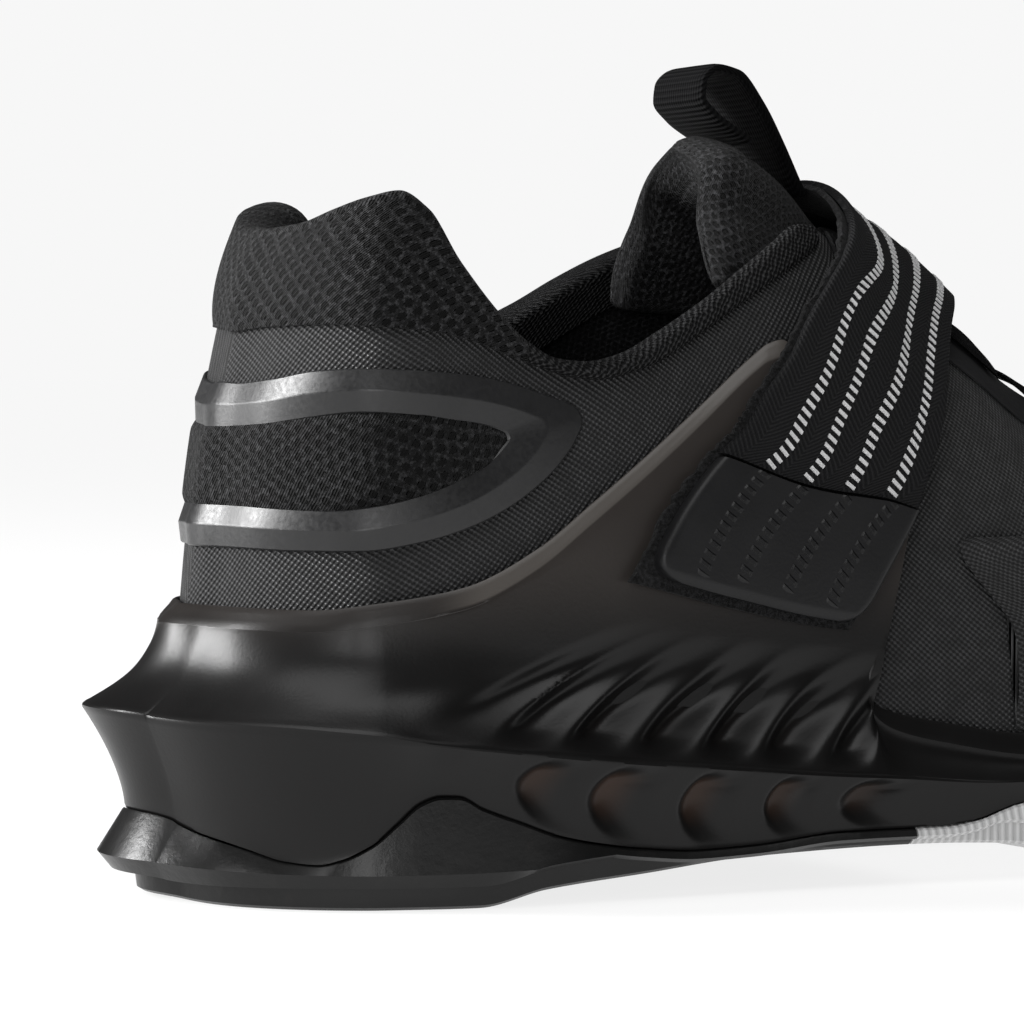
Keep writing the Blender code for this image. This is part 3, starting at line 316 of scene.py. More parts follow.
# wavy edge between outsole and midsole: x share, z share
WAVE = [
    (0.005, 0.133),
    (0.013, 0.122),
    (0.020, 0.106),
    (0.030, 0.088),
    (0.040, 0.073),
    (0.050, 0.069),
    (0.058, 0.077),
    (0.067, 0.096),
    (0.078, 0.130),
    (0.088, 0.160),
    (0.096, 0.169),
    (0.104, 0.168),
    (0.114, 0.150),
    (0.133, 0.127),
    (0.153, 0.104),
    (0.173, 0.090),
    (0.197, 0.079),
    (0.230, 0.071),
    (0.263, 0.074),
    (0.313, 0.087),
    (0.373, 0.089),
    (0.390, 0.096),
    (0.413, 0.119),
    (0.450, 0.135),
    (0.707, 0.135),
    (0.853, 0.175),
    (0.953, 0.230),
]
# height of the joint between outsole and midsole inside the edge: x share, z share
JOINT = [
    (0.005, 0.090),
    (0.200, 0.090),
    (0.360, 0.100),
    (0.500, 0.060),
    (0.707, 0.060),
    (0.853, 0.100),
    (0.953, 0.170),
]
# side of the sole: x share, ridge out, ridge z, foot out of the midsole (all shares)
RIDGE = [
    (0.005, 0.148, 0.291, 0.080),
    (0.014, 0.144, 0.284, 0.079),
    (0.023, 0.139, 0.280, 0.076),
    (0.042, 0.130, 0.277, 0.066),
    (0.063, 0.119, 0.269, 0.056),
    (0.093, 0.102, 0.250, 0.050),
    (0.120, 0.091, 0.238, 0.050),
    (0.147, 0.086, 0.228, 0.050),
    (0.190, 0.082, 0.213, 0.050),
    (0.247, 0.076, 0.196, 0.052),
    (0.303, 0.074, 0.179, 0.055),
    (0.347, 0.070, 0.169, 0.055),
    (0.413, 0.058, 0.155, 0.048),
    (0.533, 0.048, 0.160, 0.042),
    (0.707, 0.048, 0.162, 0.042),
    (0.853, 0.052, 0.205, 0.045),
    (0.953, 0.060, 0.265, 0.048),
]
# rim of the outsole: x share, out at its top, out at its rim, rim z (shares)
RIM = [
    (0.005, 0.084, 0.122, 0.066),
    (0.014, 0.083, 0.121, 0.064),
    (0.023, 0.080, 0.114, 0.062),
    (0.036, 0.073, 0.092, 0.058),
    (0.058, 0.060, 0.066, 0.055),
    (0.200, 0.053, 0.058, 0.060),
    (0.360, 0.058, 0.062, 0.080),
    (0.533, 0.046, 0.052, 0.060),
    (0.853, 0.048, 0.054, 0.100),
    (0.953, 0.050, 0.056, 0.180),
]
# outer top edge of the midsole: x share at the ridge, x share and z share at the edge
OUTER_TOP = [
    (0.005, 0.005, 0.440),
    (0.042, 0.042, 0.439),
    (0.070, 0.070, 0.450),
    (0.103, 0.110, 0.473),
    (0.133, 0.147, 0.525),
    (0.160, 0.180, 0.595),
    (0.187, 0.215, 0.670),
    (0.210, 0.249, 0.745),
    (0.226, 0.279, 0.813),
    (0.236, 0.289, 0.832),
    (0.247, 0.297, 0.838),
    (0.257, 0.303, 0.828),
    (0.267, 0.308, 0.800),
    (0.287, 0.330, 0.735),
    (0.307, 0.366, 0.660),
    (0.317, 0.366, 0.610),
    (0.324, 0.359, 0.530),
    (0.330, 0.350, 0.450),
    (0.335, 0.339, 0.380),
    (0.340, 0.333, 0.340),
    (0.346, 0.332, 0.305),
    (0.354, 0.338, 0.280),
    (0.366, 0.352, 0.262),
    (0.384, 0.377, 0.246),
    (0.420, 0.420, 0.225),
    (0.533, 0.533, 0.205),
    (0.707, 0.707, 0.205),
    (0.853, 0.853, 0.250),
    (0.953, 0.953, 0.300),
]
# inner top edge of the midsole, in the same columns
INNER_TOP = [
    (0.005, 0.005, 0.440),
    (0.042, 0.042, 0.439),
    (0.070, 0.070, 0.445),
    (0.133, 0.138, 0.475),
    (0.187, 0.200, 0.530),
    (0.247, 0.268, 0.590),
    (0.290, 0.318, 0.570),
    (0.325, 0.348, 0.470),
    (0.355, 0.366, 0.340),
    (0.420, 0.420, 0.235),
    (0.533, 0.533, 0.205),
    (0.707, 0.707, 0.205),
    (0.853, 0.853, 0.250),
    (0.953, 0.953, 0.300),
]
FLARE_HEIGHT = 0.15
CUP_WALL = 0.0019
REAR_WALL = 0.0016
CUP_GAP = 0.00045
INSIDE = 0.008
SPINE_REAR = 0.110
SPINE_FRONT = 0.860
TREAD_LAYER = 0.0035

# slanted flutes above the ridge: x share of the middle at the ridge, share gained over 16 mm,
# half width share, first and last height (shares of 16 mm), depth in metres
FLUTES = [
    (0.045, 0.105, 0.016, 0.02, 0.75, 0.0012),
    (0.086, 0.085, 0.018, 0.00, 1.30, 0.0019),
    (0.124, 0.066, 0.0185, 0.00, 1.25, 0.0024),
    (0.161, 0.056, 0.0180, 0.02, 1.20, 0.0030),
    (0.199, 0.052, 0.0180, 0.02, 1.20, 0.0031),
    (0.236, 0.046, 0.0175, 0.02, 1.20, 0.0031),
    (0.273, 0.038, 0.0170, 0.02, 1.15, 0.0029),
    (0.310, 0.030, 0.0155, 0.02, 1.00, 0.0022),
]
# pits below the ridge: x share of the middle, half width share, depth in metres
PITS = [
    (0.146, 0.0150, 0.0020),
    (0.186, 0.0165, 0.0023),
    (0.235, 0.0150, 0.0022),
    (0.282, 0.0130, 0.0020),
    (0.330, 0.0170, 0.0016),
]
# columns over the cup's top edge: drop, distance out from the skin in metres
EDGE_STEPS = [
    (0.0, CUP_GAP + 0.0002),
    (0.0, CUP_GAP + 0.0004),
    (0.0002, CUP_GAP + 0.0006),
    (0.0010, CUP_GAP + 0.00080),
    (0.0019, CUP_GAP + 0.00115),
    (0.0026, CUP_WALL - 0.0001),
    (0.0032, CUP_WALL),
]
# columns of the midsole's half section: inside the cup, then two runs of levels over the flare
CUP_COLUMNS = 6
HIGH_LEVELS = 8
LOW_LEVELS = 14
WALL_FIRST = CUP_COLUMNS + len(EDGE_STEPS)
FLARE_FIRST = WALL_FIRST + HIGH_LEVELS + LOW_LEVELS
# height over the ridge in which the flutes' table counts
FLUTE_RISE = 0.016
# passes that round the flare behind the heel
ROUNDING = 40
# shares of the way down the flare, and from the ridge down to the joint
FLARE_PARTS = list(np.linspace(0.03, 0.96, 36)) + [0.975, 0.99, 1.0]
BELOW_PARTS = [0.015, 0.04, 0.08] + list(np.linspace(0.12, 0.97, 24))


def smooth(t):
    """Soft step from 0 to 1."""
    t = np.clip(t, 0.0, 1.0)
    return t * t * (3 - 2 * t)


def flute_cut(share, rise):
    """Depth of the flutes at x shares, at a height over the ridge in shares of 16 mm."""
    depth = np.zeros(np.broadcast(share, rise).shape)
    for start, gain, half, low, high, deep in FLUTES:
        across = (share - start - gain * rise - 0.008 * (rise - 0.5) ** 2) / half
        body = smooth((across + 1.0) / 0.8) * smooth((1.0 - across) / 1.1)
        ends = smooth((rise - low) / 0.22) * smooth((high - rise) / (0.7 * high))
        depth = np.maximum(depth, deep * body * ends)
    return depth


def pit_cut(share, part):
    """Depth of the pits at x shares, at a share of the way from the ridge down to the joint."""
    depth = np.zeros(np.broadcast(share, part).shape)
    for middle, half, deep in PITS:
        bend = 1.1 * half * (2 * part - 0.95) ** 2 - 0.5 * half * (part - 0.5)
        across = (share - middle - bend + 0.3 * half) / half
        left = smooth((across + 1.0) * 1.7)
        right = smooth((1.3 - across) * 0.6)
        ends = smooth((part - 0.03) / 0.22) * smooth((0.98 - part) / 0.6)
        depth = np.maximum(depth, deep * left * right * ends)
    return depth


def side_table(side, outer, inner, at):
    """Rows of the outer or the inner table, picked by side."""
    pick = np.asarray(side) < 0
    return np.where(pick[..., None], curve(outer, at), curve(inner, at))


def spine(step, z):
    """Points along the middle line of the sole at a height."""
    share = np.clip(x_share_of(step), SPINE_REAR, SPINE_FRONT)
    at = step_at(share)
    outer_y = np.interp(at, STEPS, PLAN[:, 1])
    inner_y = np.interp(at, STEPS, PLAN[:, 2])
    z = np.broadcast_to(z, share.shape)
    return np.stack([SEAM_X + share * LENGTH, (outer_y + inner_y) / 2, z], axis=-1)


def flat(side, step, out, z):
    """Points beside the foot outline, out from it in plan, at a height."""
    at = place(side, step)
    zero = np.zeros_like(at)
    base = sample(SKIN, at, zero)
    normal = sample(SKIN_NORMAL, at, zero)
    normal[..., 2] = 0.0
    normal = normal / np.linalg.norm(normal, axis=-1, keepdims=True)
    point = base + normal * np.asarray(out, float)[..., None]
    point[..., 2] = z
    return point


def joint_angle(step):
    """Slope of the joint between its inner level and the wavy edge."""
    share = x_share_of(step)
    rise = (curve(WAVE, share) - curve(JOINT, share)) * HEIGHT
    return np.arctan2(rise, 0.003)


def midsole_sections(sides, steps):
    """Half sections of the midsole from the footbed's middle to the joint's middle."""
    share = x_share_of(steps)
    top = side_table(sides, OUTER_TOP, INNER_TOP, share)
    ridge = curve(RIDGE, share)
    wave = curve(WAVE, share) * HEIGHT
    joint = curve(JOINT, share) * HEIGHT
    footbed = curve(FOOTBED, share) * HEIGHT
    top_step = step_at(top[:, 0])
    top_step = np.where(share < 0.006, steps, top_step)
    top_step = np.where(share > 0.952, steps, top_step)
    top_z = top[:, 1] * HEIGHT
    ridge_z = ridge[:, 1] * HEIGHT
    ridge_out = ridge[:, 0] * WIDTH
    foot_out = ridge[:, 2] * WIDTH
    flare = np.minimum(FLARE_HEIGHT * HEIGHT, top_z - 0.0037 - ridge_z)
    columns = [spine(steps, curve(FOOTBED, np.clip(share, SPINE_REAR, SPINE_FRONT)) * HEIGHT)]

    def leaned(z):
        part = np.clip((z - ridge_z) / (top_z - ridge_z), 0.0, 1.0)
        return steps + (top_step - steps) * part

    columns.append(wall(sides, leaned(footbed), footbed, CUP_GAP))
    feather = curve(RIBS, share)[:, 0] * HEIGHT
    feather = np.clip(feather, footbed + 0.001, top_z - 0.001)
    columns.append(wall(sides, leaned(feather), feather, CUP_GAP))
    for part in (0.33, 0.66, 1.0):
        z = feather + (top_z - feather) * part
        columns.append(wall(sides, leaned(z), z - 0.0002 * (part == 1.0), CUP_GAP))
    rear = REAR_WALL * np.clip((0.06 - share) / 0.05, 0.0, 1.0)
    thick = CUP_WALL + 0.0001 + rear
    for drop, out in EDGE_STEPS:
        z = top_z - drop
        columns.append(wall(sides, leaned(z), z, out + rear * min(drop / 0.0030, 1.0)))
    start = top_z - EDGE_STEPS[-1][0]
    end = ridge_z + flare
    middle = np.minimum(start, ridge_z + 0.021)
    for low, high, count in ((start, middle, HIGH_LEVELS), (middle, end, LOW_LEVELS)):
        for part in np.linspace(1.0 / count, 1.0, count):
            z = low + (high - low) * part
            cut = flute_cut(share, (z - ridge_z) / FLUTE_RISE)
            columns.append(wall(sides, leaned(z), z, thick - cut))
    for part in FLARE_PARTS:
        z = end - flare * part
        out = thick + (ridge_out - thick) * part**2.2
        if part > 0.97:
            out = out - 0.0003 * (part - 0.97) / 0.03
        cut = flute_cut(share, (z - ridge_z) / FLUTE_RISE)
        columns.append(wall(sides, leaned(z), z, out - cut))
    for part in BELOW_PARTS:
        z = ridge_z + (wave - ridge_z) * part
        out = foot_out + (ridge_out - foot_out) * (1 - part) ** 1.6
        if part < 0.04:
            out = out - 0.0003 * (0.04 - part) / 0.04
        out = out - pit_cut(share, part)
        columns.append(flat(sides, steps, out, z))
    angle = joint_angle(steps)
    half = 0.55 * GAP
    columns.append(flat(sides, steps, foot_out - half * np.sin(angle), wave + half * np.cos(angle)))
    mitre = half * np.tan(angle / 2)
    columns.append(flat(sides, steps, foot_out - 0.003 - mitre, joint + half))
    columns.append(flat(sides, steps, np.full_like(share, -INSIDE), joint + half))
    middle = curve(JOINT, np.clip(share, SPINE_REAR, SPINE_FRONT)) * HEIGHT
    columns.append(spine(steps, middle + half))
    return np.stack(columns, axis=1)


def outsole_sections(sides, steps):
    """Half sections of the outsole from the joint's middle to the tread's middle."""
    share = x_share_of(steps)
    ridge = curve(RIDGE, share)
    rim = curve(RIM, share)
    wave = curve(WAVE, share) * HEIGHT
    joint = curve(JOINT, share) * HEIGHT
    tread = curve(TREAD, share) * HEIGHT
    foot_out = ridge[:, 2] * WIDTH
    top_out = rim[:, 0] * WIDTH
    rim_out = rim[:, 1] * WIDTH
    angle = joint_angle(steps)
    half = 0.55 * GAP
    mitre = half * np.tan(angle / 2)
    middle = np.clip(share, SPINE_REAR, SPINE_FRONT)
    columns = [spine(steps, curve(JOINT, middle) * HEIGHT - half)]
    rim_z = np.clip(rim[:, 2] * HEIGHT, tread + TREAD_LAYER + 0.0006, wave - 0.0012)
    low = np.minimum(tread + TREAD_LAYER, rim_z - 0.0006)
    inside = np.full_like(share, -INSIDE)
    for out, z in (
        (inside, joint - half),
        (foot_out - 0.003 + mitre, joint - half),
        (foot_out + half * np.sin(angle), wave - half * np.cos(angle)),
        (top_out, wave - 0.0004),
        (rim_out, rim_z),
        (rim_out - 0.0008 - 0.3 * (rim_out - foot_out), low),
        (foot_out - 0.0014, low),
        (foot_out - 0.0018, tread + 0.0005),
        (foot_out - 0.0026, tread),
        (inside, tread),
    ):
        columns.append(flat(sides, steps, out, z))
    columns.append(spine(steps, curve(TREAD, middle) * HEIGHT))
    return np.stack(columns, axis=1)


# edge of the upper at the collar, above each outline x share: x, outer z, inner z
COLLAR = [
    (0.005, 1.015, 1.015),
    (0.020, 1.020, 1.020),
    (0.040, 1.040, 1.040),
    (0.060, 1.058, 1.058),
    (0.076, 1.066, 1.066),
    (0.093, 1.039, 1.042),
    (0.110, 0.965, 0.975),
    (0.134, 0.884, 0.900),
    (0.149, 0.845, 0.868),
    (0.167, 0.816, 0.848),
    (0.185, 0.811, 0.848),
    (0.209, 0.825, 0.868),
    (0.235, 0.863, 0.905),
    (0.259, 0.905, 0.948),
    (0.284, 0.955, 0.985),
    (0.308, 0.999, 1.012),
    (0.326, 1.025, 1.028),
    (0.338, 1.023, 1.025),
]
CORNER = 0.338
THROAT_END = 0.650
# half width of the throat along the skin: x share, share of WIDTH
THROAT = [
    (0.338, 0.215),
    (0.360, 0.190),
    (0.400, 0.175),
    (0.500, 0.170),
    (0.590, 0.155),
    (0.630, 0.115),
    (0.645, 0.060),
    (0.650, 0.000),
]
# lower line of the collar panel and rim: x share, z share
PANEL_LINE = [
    (0.005, 0.850),
    (0.020, 0.857),
    (0.045, 0.860),
    (0.075, 0.855),
    (0.100, 0.847),
    (0.124, 0.828),
    (0.139, 0.812),
    (0.153, 0.798),
    (0.172, 0.782),
    (0.187, 0.778),
    (0.215, 0.795),
    (0.247, 0.840),
    (0.288, 0.912),
    (0.334, 0.988),
]


def skin_length(side, step):
    """Length of the skin from feather to crest."""
    at = np.atleast_1d(place(side, step))
    out = np.empty(at.shape)
    for i in np.ndindex(at.shape):
        row = SKIN[int(round(float(at[i]))) % len(SKIN)]
        out[i] = np.sum(np.linalg.norm(np.diff(row, axis=0), axis=1))
    return out


def edge_girth(sides, steps, drop=0.0):
    """Girth share of the upper's top edge, dropped by a length along the skin."""
    share = x_share_of(steps)
    collar = np.where(sides < 0, curve(COLLAR, share)[:, 0], curve(COLLAR, share)[:, 1])
    by_height = girth_at(sides, steps, collar * HEIGHT)
    length = skin_length(sides, steps)
    throat = 1.0 - curve(THROAT, share) * WIDTH / length
    edge = np.where(share <= CORNER, by_height, throat)
    open_here = edge < 0.999
    return np.where(open_here, edge - drop / length, 1.0)


def padding(share, height_share):
    """Thickness of the upper's wall at an x share and a share of its edge's girth."""
    along = np.clip((0.30 - share) / 0.09, 0.0, 1.0)
    up = np.clip((height_share - 0.35) / 0.35, 0.0, 1.0)
    soft = along * along * (3 - 2 * along) * up * up * (3 - 2 * up)
    return WALL + (PAD - WALL) * soft


TOP_DROP = 0.0013


def upper_grid(sides, steps, levels):
    """Outer and inner points of the upper for columns all round."""
    share = x_share_of(steps)
    edge = edge_girth(sides, steps, TOP_DROP * (share <= CORNER + 0.002))
    is_open = edge < 0.999
    floor = curve(FOOTBED, share) * HEIGHT + 2 * GAP
    outer = [wall(sides, steps, floor, 0.0)]
    inner = [wall(sides, steps, floor, -WALL * np.ones_like(share))]
    length = skin_length(sides, steps)
    last = np.where(is_open, edge - 0.0015 / length, 1.0)
    for level in levels:
        girth = last * level
        thick = padding(share, level)
        outer.append(skin(sides, steps, girth, np.zeros_like(share)))
        inner.append(skin(sides, steps, girth, -thick))
    thick = padding(share, 1.0)
    outer.append(skin(sides, steps, edge, np.where(is_open, -0.25 * thick, 0.0)))
    inner.append(skin(sides, steps, edge, np.where(is_open, -0.75 * thick, -thick)))
    return np.stack(outer, axis=1), np.stack(inner, axis=1), is_open


# heel ring, round from its rear top to its rear bottom: outer x and z, window x and z
RING = [
    (0.005, 0.775, 0.005, 0.705),
    (0.012, 0.773, 0.012, 0.706),
    (0.024, 0.780, 0.023, 0.711),
    (0.042, 0.792, 0.041, 0.722),
    (0.065, 0.795, 0.062, 0.730),
    (0.093, 0.791, 0.084, 0.726),
    (0.120, 0.783, 0.104, 0.718),
    (0.145, 0.767, 0.119, 0.712),
    (0.162, 0.751, 0.129, 0.705),
    (0.173, 0.738, 0.133, 0.699),
    (0.177, 0.718, 0.134, 0.690),
    (0.173, 0.690, 0.131, 0.679),
    (0.162, 0.650, 0.124, 0.660),
    (0.145, 0.609, 0.110, 0.636),
    (0.121, 0.570, 0.090, 0.610),
    (0.091, 0.540, 0.068, 0.593),
    (0.063, 0.526, 0.050, 0.586),
    (0.036, 0.525, 0.030, 0.588),
    (0.016, 0.527, 0.014, 0.592),
    (0.005, 0.527, 0.005, 0.593),
]
# tongue rows from its top to its foot: x share, thickness, half width along the skin, lift at its
# middle, x share that its legs lean to the rear
TONGUE = [
    (0.305, 0.0045, 0.0360, -0.0012, 0.024),
    (0.309, 0.0070, 0.0360, 0.0000, 0.024),
    (0.322, 0.0080, 0.0340, 0.0004, 0.018),
    (0.345, 0.0075, 0.0300, 0.0000, 0.006),
    (0.380, 0.0060, 0.0260, -0.0004, 0.000),
    (0.430, 0.0048, 0.0255, -0.0006, 0.000),
    (0.480, 0.0040, 0.0250, -0.0008, 0.000),
    (0.540, 0.0034, 0.0240, -0.0010, 0.000),
    (0.600, 0.0030, 0.0210, -0.0012, 0.000),
    (0.640, 0.0026, 0.0180, -0.0030, 0.000),
    (0.660, 0.0022, 0.0165, -0.0032, 0.000),
]
# how far the tongue's legs lie under the upper's inside, past the collar and past the throat
LEG_UNDER_COLLAR = 0.0022
LEG_UNDER_THROAT = 0.0002

# pull loop, side path: x share, z share
LOOP = [
    (0.325, 1.160),
    (0.303, 1.200),
    (0.2950, 1.228),
    (0.2960, 1.254),
    (0.305, 1.275),
    (0.317, 1.268),
    (0.3317, 1.218),
    (0.344, 1.155),
    (0.3543, 1.095),
    (0.3580, 1.075),
]
LOOP_HALF = 0.008
LOOP_THICK = 0.0016


# strap edges from the tab's end over the instep to the inner root: x and girth of both edges
STRAP = [
    (0.201, 0.117, 0.323, 0.125),
    (0.221, 0.200, 0.344, 0.233),
    (0.247, 0.292, 0.359, 0.325),
    (0.263, 0.342, 0.365, 0.367),
    (0.275, 0.400, 0.374, 0.433),
    (0.293, 0.483, 0.384, 0.515),
    (0.308, 0.567, 0.392, 0.600),
    (0.323, 0.633, 0.402, 0.680),
    (0.338, 0.705, 0.415, 0.760),
    (0.350, 0.830, 0.433, 0.870),
    (0.358, 1.000, 0.450, 1.000),
    (0.362, 1.130, 0.456, 1.120),
    (0.360, 1.260, 0.454, 1.240),
    (0.354, 1.390, 0.446, 1.370),
    (0.343, 1.520, 0.434, 1.500),
    (0.331, 1.650, 0.420, 1.630),
]
TAB_ROWS = 3
PILE = (0.0032, 0.0042)
PILE_WIDTH = 0.035
WEB_WIDTH = 0.034
WEBBING = (0.0044, 0.0059)
# the strap's front edge lies lower than its rear edge over the instep
FRONT_DROP = 0.0008
TAB = (0.0044, 0.0067)


# lace bars: x share of each crossing
LACE_BARS = [0.374, 0.408, 0.444, 0.482, 0.524, 0.566, 0.604]
LACE_REACH = 0.0225
LACE_LIFT = 0.0016
LACE_HALF = 0.0024
LACE_THICK = 0.0004


def lace_path():
    """Zigzag over the throat as x share, girth in strap terms and lift."""
    path = []
    for i, x in enumerate(LACE_BARS):
        turn = [-1.0, -0.85, -0.7, -0.5, -0.25, 0.0, 0.25, 0.5, 0.7, 0.85, 1.0]
        if i % 2:
            turn = turn[::-1]
        for t in turn:
            path.append((x, t * LACE_REACH, LACE_LIFT))
        if i + 1 < len(LACE_BARS):
            ahead = LACE_BARS[i + 1] - x
            for part in (0.2, 0.5, 0.8):
                path.append((x + ahead * part, turn[-1] * LACE_REACH, LACE_LIFT))
    return path


def lace_sections():
    """Flat lace along its zigzag path."""
    spots = []
    lifts = []
    for x, reach, off in lace_path():
        side = -1.0 if reach <= 0 else 1.0
        step = float(step_at(x))
        length = float(skin_length(side, step)[0])
        girth = 1.0 - abs(reach) / length
        spots.append(skin(side, step, girth, off))
        lifts.append(skin(side, step, girth, off + 0.001) - spots[-1])
    spots = np.array(spots)
    lifts = np.array(lifts)
    ahead = np.gradient(spots, axis=0)
    ahead /= np.linalg.norm(ahead, axis=1, keepdims=True)
    lifts -= ahead * np.sum(lifts * ahead, axis=1, keepdims=True)
    lifts /= np.linalg.norm(lifts, axis=1, keepdims=True)
    across = np.cross(ahead, lifts)
    sections = []
    for spot, lift, wide in zip(spots, lifts, across):
        section = []
        for a, b in ((-1.0, 0.0), (-0.6, 1.0), (0.6, 1.0), (1.0, 0.0), (0.6, -1.0), (-0.6, -1.0)):
            section.append(spot + wide * a * LACE_HALF + lift * b * LACE_THICK)
        sections.append(section)
    return np.array(sections)


# raised film round the forefoot: x share, z of its upper edge on both sides
VAMP = [
    (0.400, 0.400, 0.400),
    (0.410, 0.530, 0.500),
    (0.430, 0.530, 0.500),
    (0.500, 0.430, 0.420),
    (0.600, 0.370, 0.370),
    (0.780, 0.350, 0.350),
    (0.900, 0.400, 0.400),
    (0.953, 0.430, 0.430),
]
VAMP_THICK = 0.0007
VAMP_GAP = 0.0004


def insole_sections(sides, steps):
    """Half sections of the sock liner from its top's middle to its underside's middle."""
    share = x_share_of(steps)
    bed = curve(FOOTBED, share) * HEIGHT
    middle = curve(FOOTBED, np.clip(share, SPINE_REAR, SPINE_FRONT)) * HEIGHT
    inside = -(WALL + 0.0011)
    full = np.full_like(share, inside)
    columns = [
        spine(steps, middle + 0.0042),
        flat(sides, steps, full - 0.009, bed + 0.0044),
        flat(sides, steps, full - 0.0008, bed + 0.0058),
        flat(sides, steps, full, bed + 0.0052),
        flat(sides, steps, full - 0.0004, bed + 2 * GAP),
        flat(sides, steps, full - 0.009, bed + 2 * GAP),
        spine(steps, middle + 2 * GAP),
    ]
    return np.stack(columns, axis=1)


# meshes


def round_trip(shares):
    """Sides and steps of columns all round, from the rear along the outer side and back."""
    steps = step_at(shares)
    steps[0] = 0.0
    steps[-1] = 1.0
    sides = np.concatenate([np.full(len(steps), -1.0), np.full(len(steps) - 2, 1.0)])
    return sides, np.concatenate([steps, steps[-2:0:-1]])


def part_trip(steps):
    """Sides and steps from an end on the outer side round the first step to the inner side."""
    sides = np.concatenate([np.full(len(steps), -1.0), np.full(len(steps) - 1, 1.0)])
    return sides, np.concatenate([steps[::-1], steps[1:]])


def toe_trip(steps):
    """Sides and steps from an end on the outer side round the toe to the inner side."""
    sides = np.concatenate([np.full(len(steps), -1.0), np.full(len(steps) - 1, 1.0)])
    return sides, np.concatenate([steps, steps[-2::-1]])


def grid_faces(grid, wrap_rows, wrap_cols):
    """Quads of a grid and the lengths along rows and columns at each quad's corners."""
    rows, cols = grid.shape[:2]
    full = grid
    if wrap_rows:
        full = np.concatenate([full, full[:1]], axis=0)
    if wrap_cols:
        full = np.concatenate([full, full[:, :1]], axis=1)
    along = np.zeros(full.shape[:2])
    across = np.zeros(full.shape[:2])
    along[1:] = np.cumsum(np.linalg.norm(np.diff(full, axis=0), axis=2), axis=0)
    across[:, 1:] = np.cumsum(np.linalg.norm(np.diff(full, axis=1), axis=2), axis=1)
    faces = []
    corners = []
    for i in range(full.shape[0] - 1):
        for j in range(full.shape[1] - 1):
            k = (i + 1) % rows
            m = (j + 1) % cols
            faces.append((i * cols + j, i * cols + m, k * cols + m, k * cols + j))
            spots = ((i, j), (i, j + 1), (i + 1, j + 1), (i + 1, j))
            corners.append([(along[s], across[s]) for s in spots])
    return faces, corners


def new_object(name, data):
    """Object in the scene's collection."""
    obj = bpy.data.objects.new(name, data)
    bpy.context.scene.collection.objects.link(obj)
    return obj


def make_piece(name, points, faces, corners, materials, which=None, tint=None, sharp=35.0):
    """Mesh object on the root, its UV map in metres, welded, facing out, smooth but for sharp edges."""
    mesh = bpy.data.meshes.new(name)
    mesh.from_pydata([tuple(p) for p in points], [], faces)
    layer = mesh.uv_layers.new(name="lengths")
    flat_uv = []
    for k, face in enumerate(faces):
        spots = corners[k] if k < len(corners) else [(points[v][0], points[v][1]) for v in face]
        for u, v in spots:
            flat_uv.extend((u, v))
    layer.data.foreach_set("uv", flat_uv)
    for material in materials:
        mesh.materials.append(material)
    if which is not None:
        mesh.polygons.foreach_set("material_index", list(which) + [0] * (len(faces) - len(which)))
    shade = mesh.attributes.new("tint", "FLOAT", "POINT")
    if tint is not None:
        shade.data.foreach_set("value", np.asarray(tint, float).ravel())
    work = bmesh.new()
    work.from_mesh(mesh)
    bmesh.ops.remove_doubles(work, verts=work.verts, dist=1e-6)
    bmesh.ops.recalc_face_normals(work, faces=work.faces)
    work.to_mesh(mesh)
    work.free()
    mesh.shade_smooth()
    mesh.set_sharp_from_angle(angle=math.radians(sharp))
    obj = new_object(name, mesh)
    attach(obj, "root")
    return obj


def loft_piece(name, grid, wrap_rows, materials, which=None, tint=None, sharp=35.0):
    """Piece from closed sections in rows, with flat caps when the rows do not close."""
    rows, cols = grid.shape[:2]
    faces, corners = grid_faces(grid, wrap_rows, True)
    if not wrap_rows:
        faces.append(tuple(range(cols)))
        faces.append(tuple((rows - 1) * cols + j for j in reversed(range(cols))))
    return make_piece(name, grid.reshape(-1, 3), faces, corners, materials, which, tint, sharp)


def half_piece(name, grid, closed, materials, which=None, tint=None, sharp=35.0):
    """Piece from half sections whose ends lie on the middle line."""
    rows, cols = grid.shape[:2]
    faces, corners = grid_faces(grid, closed, False)
    if not closed:
        first = list(range(cols))
        last = [(rows - 1) * cols + j for j in range(cols)]
        faces.append(tuple(first + last[::-1]))
    return make_piece(name, grid.reshape(-1, 3), faces, corners, materials, which, tint, sharp)


def done(obj, node):
    """Take the place of a node by hiding its imported part."""
    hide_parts(node)
    return obj


# materials


